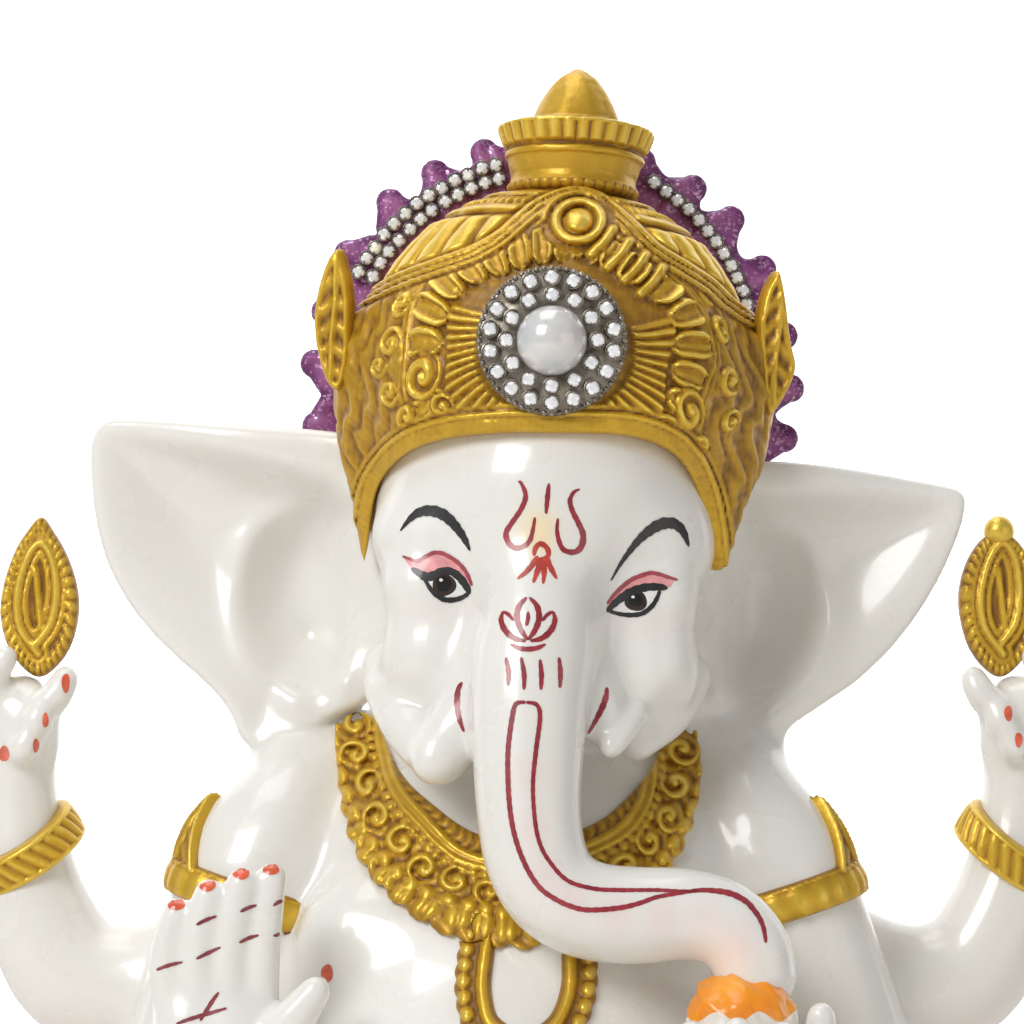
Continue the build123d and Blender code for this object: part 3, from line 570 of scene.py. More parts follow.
def mat_felt():
    m = Mat("felt")
    c = m.ramp(m.noise(700, 6, 0.7), [(0.3, (0.018, 0.045, 0.02)), (0.7, (0.05, 0.10, 0.05))])
    m.put("Base Color", c).put("Roughness", 0.95).put("Sheen Weight", 0.6).put("Sheen Roughness", 0.5)
    m.bump(m.noise(1400, 6, 0.8), 0.0005, 0.9)
    return m.m


def mat_card():
    m = Mat("base_card")
    c = m.ramp(m.noise(240, 6, 0.7), [(0.3, (0.24, 0.17, 0.10)), (0.7, (0.40, 0.30, 0.20))])
    m.put("Base Color", c).put("Roughness", 0.85)
    m.bump(m.noise(900, 5, 0.7), 0.0002, 0.6)
    return m.m


def mat_steel():
    m = Mat("steel_pin")
    c = m.ramp(m.noise(300, 4), [(0.3, (0.36, 0.36, 0.37)), (0.7, (0.62, 0.62, 0.63))])
    m.put("Base Color", c).put("Metallic", 1.0).put("Roughness", m.ramp(m.noise(500, 3), [(0.3, 0.22), (0.7, 0.42)]))
    m.bump(m.noise(1800, 2), 0.00006, 0.4)
    return m.m


def mat_stroke(name, rgb, gloss=0.3, vary=0.25):
    m = Mat(name)
    a = tuple(max(0.0, c * (1 - vary)) for c in rgb)
    b = tuple(min(1.0, c * (1 + vary) + 0.01) for c in rgb)
    m.put("Base Color", m.ramp(m.noise(520, 4), [(0.3, a), (0.7, b)])).put("Roughness", gloss).put("Coat Weight", 0.45).put("Coat Roughness", 0.08)
    m.bump(m.noise(900, 3), 0.00006, 0.4)
    return m.m


M_WHITE, M_GOLD, M_GLITTER, M_CRYSTAL, M_SETTING, M_PEARL = mat_white(), mat_gold(), mat_glitter(), mat_crystal(), mat_setting(), mat_pearl()
M_LADDU, M_CLOTH, M_PLINTH, M_FELT, M_CARD, M_STEEL = mat_laddu(), mat_cloth(), mat_plinth(), mat_felt(), mat_card(), mat_steel()


# ------------------------------------------------------------------ the white castings
H = 0.62
TRUNK = [
    (3.8, -21.0, 160.0, 10.6), (3.2, -27.5, 152.0, 9.8), (2.2, -32.0, 144.0, 9.1), (1.4, -35.0, 136.0, 8.5),
    (1.2, -36.8, 128.0, 7.9), (1.2, -38.2, 120.0, 7.4), (2.2, -39.2, 112.6, 7.2), (5.0, -39.8, 107.6, 7.0),
    (10.0, -40.0, 105.0, 6.9), (16.5, -40.0, 104.4, 6.8), (23.0, -40.2, 104.6, 6.4), (28.4, -40.8, 103.2, 6.1),
    (31.8, -41.4, 99.8, 5.9), (32.8, -41.8, 96.2, 5.7),
]
EAR_R = [
    (-20.0, 172.5), (-26.0, 174.7), (-40.0, 176.0), (-51.8, 177.0), (-60.6, 177.4), (-63.4, 175.2),
    (-64.0, 171.3), (-63.4, 163.8), (-61.5, 156.4), (-58.5, 150.5), (-54.8, 145.7), (-50.3, 141.3),
    (-45.6, 137.1), (-42.8, 133.4), (-41.0, 129.4), (-37.4, 129.4), (-32.4, 131.2), (-27.2, 133.2),
    (-21.0, 136.8), (-18.0, 148.0), (-18.5, 160.0),
]
EAR_L = [
    (24.0, 170.3), (32.0, 170.6), (41.6, 170.4), (52.0, 169.3), (62.0, 167.8), (65.8, 166.8),
    (66.5, 164.4), (65.1, 159.4), (61.6, 152.0), (56.5, 144.6), (50.5, 138.6), (44.6, 134.5),
    (40.0, 131.2), (37.9, 127.6), (33.0, 126.6), (28.4, 127.6), (24.4, 131.0), (22.4, 138.0), (22.4, 150.0),
    (23.5, 160.0),
]
TORSO = [
    (0, 3, 56, 41, 36, 30), (0, -4.5, 72, 43, 40, 33), (0, -4, 92, 36.5, 31.5, 27), (0, -1.5, 110, 33, 23.5, 21),
]


def ear(outline, side, fold, dishes, ridges, seed):
    """A cupped sheet whose top edge rolls forward, with a dished hollow round the ear's opening.
    fold is the line under the rolled edge; dishes are (x, z, rx, rz, depth)."""
    loop = closed(outline)
    lo = np.array([loop[:, 0].min(), -16, loop[:, 1].min()])
    hi = np.array([loop[:, 0].max(), 14, loop[:, 1].max()])
    g = Grid(lo - 6, hi + 6, H)
    x, y, z = g.axes()
    X, Z = x[:, 0, :] + 0 * z[:, 0, :], z[:, 0, :] + 0 * x[:, 0, :]
    d2 = poly2d(loop, X, Z)
    away = side * X - 22.0  # from the head outwards
    cup = smooth(0.0, 15.0, -d2)
    mid = -1.6 + 5.0 * cup + 0.06 * away + 1.4 * smooth(20, 44, away)
    for cx, cz, rx, rz, deep in dishes:
        mid = mid + deep * np.exp(-(((X - cx) / rx) ** 2 + ((Z - cz) / rz) ** 2) ** 1.6)
    for path, w, high in ridges:
        d, _, _ = path2d(catmull(path, 6), X, Z)
        mid = mid - high * np.exp(-((d / w) ** 2))
    mid = mid + 0.35 * noise3(np.stack([X.ravel(), 0 * X.ravel(), Z.ravel()], 1), 0.16, seed).reshape(X.shape)
    d, _, lift = path2d(fold, X, Z)
    w = np.interp(away, [0, 14, 40], [3.8, 2.8, 2.2])
    roll = smooth(-1.0, 1.0, lift / w)
    push = np.interp(away, [0, 12, 26, 36, 44], [6.8, 6.2, 4.2, 1.8, 0.4])
    mid = mid - push * roll + 0.3 * np.clip(lift, 0, 9) * roll
    half = 1.2 + 1.5 * smooth(14, -2, away) + 0.2 * cup + 0.9 * roll * smooth(44, 10, away)
    edge = 1.0
    a = d2[:, None, :] + edge
    b = np.abs(y - mid[:, None, :]) - half[:, None, :] + edge
    g.F = (0.8 * (np.sqrt(np.maximum(a, 0) ** 2 + np.maximum(b, 0) ** 2) + np.minimum(np.maximum(a, b), 0) - edge)).astype(F32)
    return g


def head_grid():
    g = Grid((-36, -52, 88), (48, 26, 196), H)
    g.add(ell((4.4, -8.5, 163.5), (25.6, 26.4, 26.0), (0, 4.5, 0)))
    g.add(ell((3.2, -10.0, 147.0), (21.4, 19.5, 20.0)), 7)
    g.add(ell((-1.0, 1.0, 138.0), (16.0, 14.0, 15.0)), 6)  # jaw towards the neck
    g.add(ell((5.0, -24.0, 165.5), (13.0, 11.2, 10.5)), 7)  # forehead
    g.add(tube(TRUNK), 5.5)
    for k, cx in ((-1, -12.4), (1, 18.4)):
        dz = 0.0 if k < 0 else -1.6
        g.add(ell((cx + 0.4 * k, -21.6, 157.6 + dz), (7.4, 6.6, 4.6), (0, -k * 12, 0)), 8)  # brow
        g.cut(ell((cx + 1.8 * k, -40.9, 149.8 + dz), (8.0, 8.2, 5.4)), 6.5)
        g.add(ell((cx + 0.6 * k, -25.4, 150.6 + dz), (6.4, 5.2, 4.8), (0, -k * 14, 0)), 4)  # eyeball under the lid
        g.add(ell((cx - 0.2 * k, -23.4, 140.9 + dz), (7.6, 8.0, 8.4), (0, k * 12, 0)), 5)  # cheek
        g.cut(ell((cx + 4.8 * k, -31.5, 132.0 + dz), (3.2, 4.2, 4.2)), 4)
    # folds that the tusks grow from
    g.add(tube([(-6.6, -29.0, 141.0, 3.0), (-7.6, -31.0, 135.6, 3.4), (-8.8, -32.0, 130.6, 3.6), (-10.4, -31.6, 126.8, 3.4)]), 2.2)
    g.add(tube([(-19.6, -15.0, 140.0, 3.4), (-18.6, -20.4, 135.6, 3.5), (-15.6, -26.4, 130.2, 3.5), (-12.0, -30.6, 126.4, 3.4)]), 2.6)
    g.add(tube([(9.4, -30.0, 140.4, 2.6), (11.4, -31.0, 135.4, 3.0), (11.8, -31.4, 131.0, 3.0)]), 2.2)
    g.add(tube([(24.2, -13.0, 138.4, 3.8), (21.4, -19.4, 133.0, 3.4), (16.6, -25.4, 129.0, 3.0)]), 3)
    return g


def arm_grid(pts, extra, fingers, box, k=2.2):
    g = Grid(box[0], box[1], H)
    for p in pts:
        g.add(tube(p), 4)
    for e in extra:
        g.add(ell(*e), 3.4)
    hand = Grid(box[0], box[1], H)
    for p in fingers:
        one = Grid(np.array([min(q[i] - q[3] for q in p) for i in range(3)]) - 3, np.array([max(q[i] + q[3] for q in p) for i in range(3)]) + 3, H)
        one.add(tube(p))
        hand.merge(one, 0.55)
    g.merge(hand, 1.3)
    return g


def mx(pts):
    return [(-p[0],) + tuple(p[1:]) for p in pts]


UPPER = [(-32.4, 0.6, 122.0, 8.6), (-33.8, -3.0, 118.4, 9.6), (-37.0, -5.0, 111.0, 12.2), (-41.2, -5.4, 101.0, 11.2), (-46.2, -4.0, 88.0, 10.2), (-49.6, -1.6, 79.6, 9.4)]
FORE_R = [(-50.0, -1.0, 79.0, 9.2), (-49.6, -13.0, 76.0, 8.6), (-47.4, -24.0, 76.6, 7.4), (-44.6, -32.4, 80.4, 6.2), (-43.0, -36.0, 86.0, 6.2)]
FORE_L = [(50.0, -1.0, 79.0, 9.2), (49.6, -13.0, 76.6, 8.6), (46.0, -24.6, 77.6, 7.4), (40.4, -33.6, 79.8, 6.2), (35.0, -39.6, 80.8, 5.6)]
FING_R = [
    [(-48.6, -37.6, 92.5, 2.7), (-49.4, -39.0, 98.6, 2.5), (-47.9, -39.6, 104.9, 2.1)],
    [(-44.8, -38.6, 93.0, 2.8), (-44.9, -40.2, 99.6, 2.55), (-43.4, -40.6, 107.5, 2.15)],
    [(-40.6, -38.6, 93.0, 2.8), (-40.3, -40.4, 100.2, 2.55), (-38.8, -41.0, 109.1, 2.15)],
    [(-36.4, -38.2, 92.6, 2.8), (-35.8, -39.8, 100.4, 2.5), (-34.6, -40.2, 109.8, 2.1)],
    [(-37.0, -38.6, 85.0, 4.0), (-32.2, -41.0, 89.2, 3.3), (-28.4, -42.4, 94.0, 2.2)],
]
FING_L = [
    [(27.0, -43.0, 80.6, 2.9), (23.6, -49.0, 83.0, 2.6), (23.6, -51.6, 88.4, 2.1)],
    [(31.0, -44.0, 80.4, 2.9), (29.2, -51.0, 82.6, 2.6), (29.8, -53.0, 88.8, 2.15)],
    [(35.4, -43.0, 80.6, 2.9), (35.0, -50.4, 82.8, 2.6), (36.0, -52.2, 88.2, 2.1)],
    [(38.0, -39.0, 81.0, 3.2), (41.2, -44.0, 85.0, 2.7), (41.6, -46.8, 90.6, 2.1)],
]
UPPER_L = [(31.2, 0.6, 123.2, 8.2), (33.0, -3.0, 119.0, 9.2), (36.4, -5.0, 111.0, 11.3), (40.8, -5.4, 101.0, 10.8), (46.0, -4.0, 88.0, 10.2), (49.6, -1.6, 79.6, 9.4)]
REAR = [(-36.0, 8.0, 103.0, 9.6), (-46.0, 9.6, 96.6, 9.8), (-57.0, 10.4, 92.8, 9.6), (-66.4, 10.6, 95.0, 9.2), (-71.6, 10.6, 103.4, 8.1), (-74.0, 10.4, 112.4, 6.9), (-74.9, 10.2, 121.0, 5.7), (-74.8, 9.8, 128.4, 5.4)]
FIST = [
    [(-71.2, 7.0, 134.4, 2.6), (-68.9, 3.6, 136.2, 2.4), (-67.5, 4.0, 138.8, 2.1)],
    [(-72.8, 5.0, 131.2, 2.6), (-71.6, 2.4, 132.2, 2.4), (-70.8, 2.8, 134.6, 2.0)],
    [(-74.2, 4.4, 128.6, 2.6), (-73.4, 2.2, 128.6, 2.3), (-72.4, 2.4, 130.8, 1.9)],
    [(-78.4, 7.0, 134.0, 2.8), (-78.8, 4.6, 138.4, 2.4), (-76.4, 3.6, 142.0, 2.0)],
]

parts_white = {}
parts_white["head"] = head_grid()
parts_white["right_ear"] = ear(
    EAR_R, -1,
    [(-70.0, 177.6), (-61.5, 175.6), (-54.8, 173.6), (-47.4, 171.6), (-40.0, 169.6), (-32.5, 167.2), (-25.9, 164.4), (-16.0, 160.0)],
    [(-31.6, 151.6, 7.6, 10.6, 5.6), (-29.6, 143.0, 4.6, 4.6, 1.8)],
    [([(-33.0, 164.4), (-39.6, 160.0), (-41.6, 151.0), (-39.4, 142.0), (-33.4, 135.8)], 2.4, 1.5), ([(-24.6, 160.0), (-26.2, 152.0), (-25.8, 145.0), (-26.0, 138.4)], 2.0, 2.2)],
    3)
parts_white["left_ear"] = ear(
    EAR_L, 1,
    [(16.0, 160.5), (27.0, 163.4), (34.0, 164.0), (44.0, 164.2), (54.0, 164.2), (62.6, 164.4), (72.0, 165.2)],
    [(35.4, 149.6, 7.2, 10.4, 5.4), (33.4, 141.4, 4.4, 4.6, 1.8)],
    [([(37.0, 162.0), (43.4, 157.6), (45.4, 148.6), (43.0, 140.0), (37.0, 133.8)], 2.4, 1.4), ([(28.8, 158.0), (30.4, 150.0), (30.0, 143.0), (30.0, 136.6)], 2.0, 2.2)],
    4)

g = Grid((-56, -56, 24), (56, 46, 150), H)
for cx, cy, cz, rx, ry, rz in TORSO:
    g.add(ell((cx, cy, cz), (rx, ry, rz)), 9)
g.add(tube([(0.5, 2.0, 118.0, 17.0), (1.5, 1.5, 130.0, 13.6), (2.0, 0.5, 142.0, 13.0)]), 8)  # neck
for k in (-1, 1):
    g.add(ell((k * 19.5, -20.0, 99.5), (12.6, 9.6, 10.5), (0, -k * 14, 0)), 3.4)  # chest
    g.add(tube([(k * 10, 6, 129, 8.4), (k * 23, 4, 125.0, 8.6), (k * 32, 2, 119.4, 8.8)]), 7)  # shoulder line
g.add(ell((0, -14.0, 74.0), (34.5, 31.5, 25.0)), 4)  # belly
g.cut(ell((0.6, -47.6, 68.6), (2.0, 4.4, 1.6)), 2.2)  # navel
parts_white["torso"] = g

parts_white["front_right_arm"] = arm_grid([UPPER, FORE_R], [((-42.9, -37.2, 91.2), (7.8, 4.6, 8.6)), ((-39.2, -38.2, 87.6), (4.6, 4.4, 5.6)), ((-47.0, -37.6, 87.6), (3.8, 4.2, 6.2))], FING_R, ((-66, -50, 60), (-18, 14, 134)))
parts_white["front_left_arm"] = arm_grid([UPPER_L, FORE_L], [((32.6, -42.6, 80.4), (9.6, 8.0, 4.6))], FING_L, ((14, -60, 60), (66, 14, 134)))
rear_hand = [((-74.6, 8.4, 133.0), (5.8, 5.8, 6.6))]
parts_white["rear_right_arm"] = arm_grid([REAR], rear_hand, FIST, ((-90, -8, 76), (-22, 30, 150)))
parts_white["rear_left_arm"] = arm_grid([mx(REAR)], [((74.6, 8.4, 133.0), (5.8, 5.8, 6.6))], [mx(f) for f in FIST], ((22, -8, 76), (90, 30, 150)))

g = Grid((-24, -44, 116), (0, -18, 144), H)
g.add(tube([(-10.2, -29.6, 131.6, 3.0), (-11.6, -32.8, 127.6, 3.3), (-12.0, -33.8, 126.0, 3.0)]))
parts_white["right_tusk"] = g
g = Grid((4, -44, 116), (24, -18, 144), H)
g.add(tube([(16.4, -30.4, 132.6, 2.0), (14.4, -32.6, 130.0, 2.05), (12.8, -34.0, 127.9, 1.8)]))
parts_white["left_tusk"] = g

WHITE = Grid((-88, -60, 22), (88, 48, 196), H)
BLEND = {"torso": 0, "head": 3.0, "right_ear": 2.4, "left_ear": 2.4, "front_right_arm": 3.2, "front_left_arm": 3.2, "rear_right_arm": 3.0, "rear_left_arm": 3.0, "right_tusk": 2.2, "left_tusk": 0.7}
LABEL = {n: i + 1 for i, n in enumerate(BLEND)}
for n, k in BLEND.items():
    WHITE.merge(parts_white[n], k, LABEL[n])


def soften(F, times=1):
    """A light blur that takes the creases out of joined limbs."""
    for _ in range(times):
        for ax in range(3):
            G = F.copy()
            mid = [slice(None)] * 3
            lo, hi = list(mid), list(mid)
            mid[ax], lo[ax], hi[ax] = slice(1, -1), slice(0, -2), slice(2, None)
            G[tuple(mid)] = 0.5 * F[tuple(mid)] + 0.25 * (F[tuple(lo)] + F[tuple(hi)])
            F = G
    return F


WHITE.F = soften(np.clip(WHITE.F, -6, 6), 2)


def relief(g, fn, reach=3.2):
    """Raises a grid's surface by fn where the surface is near. fn takes flat x, y, z."""
    near = np.argwhere(np.abs(g.F) < reach)
    p = (near + g.i0) * g.h
    h = fn(p[:, 0].astype(float), p[:, 1].astype(float), p[:, 2].astype(float))
    g.F[near[:, 0], near[:, 1], near[:, 2]] -= h.astype(F32)
    return g




def glow(P, c, r, p=2.0):
    """A soft patch of colour, for airbrushed paint and for painted light and shade: 1 in the middle, 0 at the edge; r
    is an ellipse's radii.
    """
    q = np.sqrt((((P - np.array(c)) / np.array(r)) ** 2).sum(1))
    return smooth(1.0, 0.0, q) ** (p / 2)


def tint_of(P, n):
    base = np.tile(np.array([0.838, 0.832, 0.802]), (len(P), 1))

    def wash(w, rgb):
        nonlocal base
        base = base * (1 - w[:, None]) + np.array(rgb) * w[:, None]

    front = smooth(0.1, -0.5, n[:, 1])
    # pink airbrush down the trunk between its painted lines
    for a, b in zip(TRUNK[4:-2], TRUNK[5:-1]):
        mid = (np.array(a[:3]) + np.array(b[:3])) / 2 + np.array([0, -6.6, 0])
        wash(0.27 * glow(P, mid, (4.2, 5.0, 5.0)) * front, (0.92, 0.56, 0.56))
    # painted light: a peach patch on the underside of the trunk's curl, just above the sweet, stands in for orange
    # light reflected from it
    wash(0.45 * glow(P, (28.0, -46.0, 98.4), (9.0, 7.0, 5.0)) * front, (0.94, 0.62, 0.46))  # under the curl
    wash(0.75 * glow(P, (2.6, -38.0, 158.2), (4.4, 8.0, 5.4)), (0.95, 0.72, 0.30))  # behind the trident
    wash(0.30 * glow(P, (2.6, -38.0, 158.2), (7.0, 9.0, 7.0)), (0.95, 0.80, 0.60))
    # painted shade: a darker, rosier patch round each eye stands in for the shade of the eye sockets
    for x, z in ((-11.2, 147.6), (18.2, 146.0)):
        wash(0.12 * glow(P, (x, -32.0, z), (8.0, 9.0, 4.0)), (0.80, 0.58, 0.52))
    return base


v, q, n = WHITE.surface()
lab = WHITE.lab[tuple(np.clip(np.round(v / H - WHITE.i0).astype(int), 0, np.array(WHITE.lab.shape) - 1).T)]
tint = tint_of(v, n)
fl = lab[q[:, 0]]
WHITE_NAMES = {"torso": "body_casting", "head": "head_and_trunk", "right_ear": "ear_right", "left_ear": "ear_left", "front_right_arm": "arm_front_right", "front_left_arm": "arm_front_left",
               "rear_right_arm": "arm_rear_right", "rear_left_arm": "arm_rear_left", "right_tusk": "tusk_right", "left_tusk": "tusk_left"}
SKIN = BVHTree.FromPolygons([Vector(p) for p in v], [tuple(int(i) for i in f) for f in q])
for key, L in LABEL.items():
    vv, qq, nn, at = pick(v, q, n, fl == L, {"tint": tint})
    mesh_object(WHITE_NAMES[key], vv, qq, M_WHITE, node=key, normals=nn, attrs=at)
WHITE_SKIN_TORSO = parts_white["torso"]
WHITE_SKIN_TORSO.F = soften(WHITE_SKIN_TORSO.F, 2)


# ------------------------------------------------------------------ dhoti, feet
def build_legs():
    hl = 0.8
    g = Grid((-82, -56, 22), (82, 48, 64), hl)
    g.add(ell((0, 2, 36), (55, 41, 20)))
    for k in (-1, 1):
        g.add(tube([(k * 22, 4, 42, 17.5), (k * 40, -4, 40, 17.5), (k * 56, -10, 38.5, 15.8), (k * 61, -14, 37.5, 14.4)]), 6)
        g.add(tube([(k * 60, -14, 36.5, 13.6), (k * 46, -27, 35, 11.4), (k * 28, -35, 33, 10.0), (k * 10, -39.5, 31.5, 9.2)]), 5)
    g.add(ell((0, -31, 30), (14, 12.0, 8.0)), 4)

    # gathered cloth: pleats run out from the waist along each leg
    def cloth(x, y, z):
        s = np.sign(x + 1e-6)
        a = np.arctan2(z - 36.0, -(y - 2.0) * 0.8)
        u = np.abs(x)
        fan = np.cos(0.34 * (z * 2.0 - y * 0.9) + 0.05 * u + 0.6 * np.sin(u * 0.09) + s * 0.7)
        shin = np.cos(0.55 * u + 0.35 * (z - 34) + 0.5 * np.sin(z * 0.3))
        w = smooth(-20, -32, y) * smooth(12, 22, u)
        h = (0.5 + 0.5 * fan) * (1 - w) + (0.5 + 0.5 * shin) * w
        amp = 1.0 * smooth(2, 14, u) + 0.35
        return h * amp

    relief(g, lambda x, y, z: cloth(x, y, z) - 0.6)
    g.F = soften(g.F, 1)
    x, y, z = g.axes()
    g.F = smax(g.F, (24.0 - z + 0 * x + 0 * y).astype(F32), 0.8)
    # the lap is hollowed where the belly sits
    body = Grid((-82, -56, 22), (82, 48, 64), hl)
    P = np.stack(np.broadcast_arrays(x, y, z), -1).reshape(-1, 3).astype(float)
    body.F = WHITE_SKIN_TORSO.sample(P).reshape(g.F.shape).astype(F32)
    inside = (np.abs(x) < 54) & (y < 44) & (y > -54) & (z > 25)
    body.F = np.where(inside, body.F, 9.0).astype(F32)
    g.sub(body, 0.6, 0.25)
    vv, qq, nn = g.surface()
    # painted shade and light: the pleat height is stored so the cloth is painted dark in the folds and light on the
    # crests
    relief_shade = np.clip(cloth(vv[:, 0], vv[:, 1], vv[:, 2]) / 1.1, 0, 1)
    waist = np.abs(WHITE_SKIN_TORSO.sample(vv))
    cuff = np.abs(np.abs(vv[:, 0]) - 14.5)
    hem = np.maximum(smooth(3.6, 2.2, waist) * (vv[:, 2] > 40), smooth(2.4, 1.6, cuff) * (vv[:, 1] < -28))
    hem = np.maximum(hem, smooth(3.4, 2.6, vv[:, 2] - 24) * 1.0)
    mesh_object("dhoti_and_legs", vv, qq, M_CLOTH, node="legs", normals=nn, attrs={"relief_shade": relief_shade, "hem": hem})
    LEGS["grid"] = g


LEGS = {}


def build_foot(name, node, heel, ball, flat, toes, lo, hi):
    g = Grid(lo, hi, 0.5)
    g.add(tube([heel + (4.6,), tuple((np.array(heel) + np.array(ball)) / 2) + (5.2,), ball + (5.0,)]))
    g.add(ell(flat[0], flat[1], flat[2]), 3)
    for t in toes:
        one = Grid(lo, hi, g.h)
        one.add(tube(t))
        g.merge(one, 0.9)
    g.F = soften(g.F, 1)
    x, y, z = g.axes()
    g.F = smax(g.F, (24.1 - z + 0 * x + 0 * y).astype(F32), 0.6)
    if "grid" in LEGS:
        P = np.stack(np.broadcast_arrays(x, y, z), -1).reshape(-1, 3).astype(float)
        leg = LEGS["grid"].sample(P).reshape(g.F.shape).astype(F32)
        g.F = smax(g.F, -(leg + 1.2), 0.4)
    vv, qq, nn = g.surface()
    base = np.tile(np.array([0.838, 0.832, 0.802]), (len(vv), 1))
    tip = np.zeros(len(vv))
    for t in toes:
        e = np.array(t[-1][:3]) + np.array([0, -1.0, 0.6])
        tip = np.maximum(tip, smooth(1.8, 1.2, np.linalg.norm(vv - e, axis=1)))
    base = base * (1 - tip[:, None]) + np.array([0.62, 0.085, 0.06]) * tip[:, None]
    mesh_object(name, vv, qq, M_WHITE, node=node, normals=nn, attrs={"tint": base})


# ------------------------------------------------------------------ gilded relief
HG = 0.34
CROWN_C = np.array([5.2, -6.0, 180.0])
TILT = math.radians(4.5)
UPX, UPZ = math.sin(TILT), math.cos(TILT)


def crown_frame(x, y, z):
    """Crown coordinates: azimuth from the front, height along the leaning axis, and radius from it."""
    dx, dy, dz = x - CROWN_C[0], y - CROWN_C[1], z - CROWN_C[2]
    side = dx * UPZ - dz * UPX
    up = dx * UPX + dz * UPZ
    return np.arctan2(side, -dy), up, np.hypot(side, dy), side


def bump(d, w):
    """A rounded ridge of half width w."""
    return np.sqrt(np.clip(1 - (d / w) ** 2, 0, 1))


def beads(u, v, pitch, r):
    """A row of round beads along u at v = 0."""
    du = (u + pitch / 2) % pitch - pitch / 2
    return np.sqrt(np.clip(1 - (du**2 + v**2) / r**2, 0, 1))


def petal(u, v, w, length):
    """A leaf that starts at v = 0 and ends at v = length: raised rim, dished inside, ridge down the middle."""
    t = np.clip(v / length, 0, 1)
    half = w * np.sqrt(np.clip(np.sin(np.pi * (0.12 + 0.88 * t) * 0.98), 0, 1)) * (1 - 0.25 * t)
    on = (v > 0) & (v < length)
    e = np.abs(u) / np.maximum(half, 0.05)
    body = np.where(e < 1, 0.45 + 0.4 * e**2 * (1 - smooth(0.86, 1.0, e)) + 0.3 * bump(u, 0.16 * w), 0)
    tip = smooth(1.0, 0.9, t) * smooth(0.0, 0.06, t)
    return np.where(on, body * tip, 0)


def spiral(dx, dz, r, turns, hand=1):
    """A scroll: raised line that winds in to a round eye."""
    rho = np.hypot(dx, dz)
    a = np.arctan2(dz, dx) * hand
    ph = (rho / r * turns - a / (2 * np.pi)) % 1.0
    line = bump(ph - 0.5, 0.34)
    return np.where(rho < r, np.maximum(line * smooth(0, 0.25 * r, rho) * smooth(r, 0.86 * r, rho) * 0.9, bump(rho, 0.24 * r) * 1.1), 0)


ARCH = catmull([(-24.0, 136.0), (-22.6, 146.0), (-21.0, 153.6), (-20.5, 157.5), (-20.2, 161.2), (-19.8, 164.2), (-19.0, 166.7), (-17.1, 169.0), (-14.2, 170.8), (-9.6, 171.9), (-4.2, 172.3),
                (0.5, 172.4), (5.2, 172.3), (9.9, 172.3), (14.6, 172.2), (18.4, 171.6), (21.9, 170.3), (24.5, 168.2), (26.4, 165.3), (27.7, 162.0), (28.8, 157.5), (29.6, 152.0), (31.0, 138.0)], 4)
RIM = catmull([(-60.0, 190.0), (-38.0, 194.4), (-28.0, 195.4), (-24.0, 196.1), (-18.7, 197.4), (-13.9, 198.6), (-9.2, 200.0), (-5.6, 202.0), (-3.0, 204.6), (-0.3, 207.3), (2.9, 209.3),
               (6.2, 210.2), (9.6, 209.2), (12.2, 207.0), (15.8, 203.5), (18.8, 200.6), (23.3, 198.2), (27.4, 196.0), (31.2, 193.4), (40.0, 191.4), (70.0, 190.0)], 4)
ROSE = (6.6, 203.6)


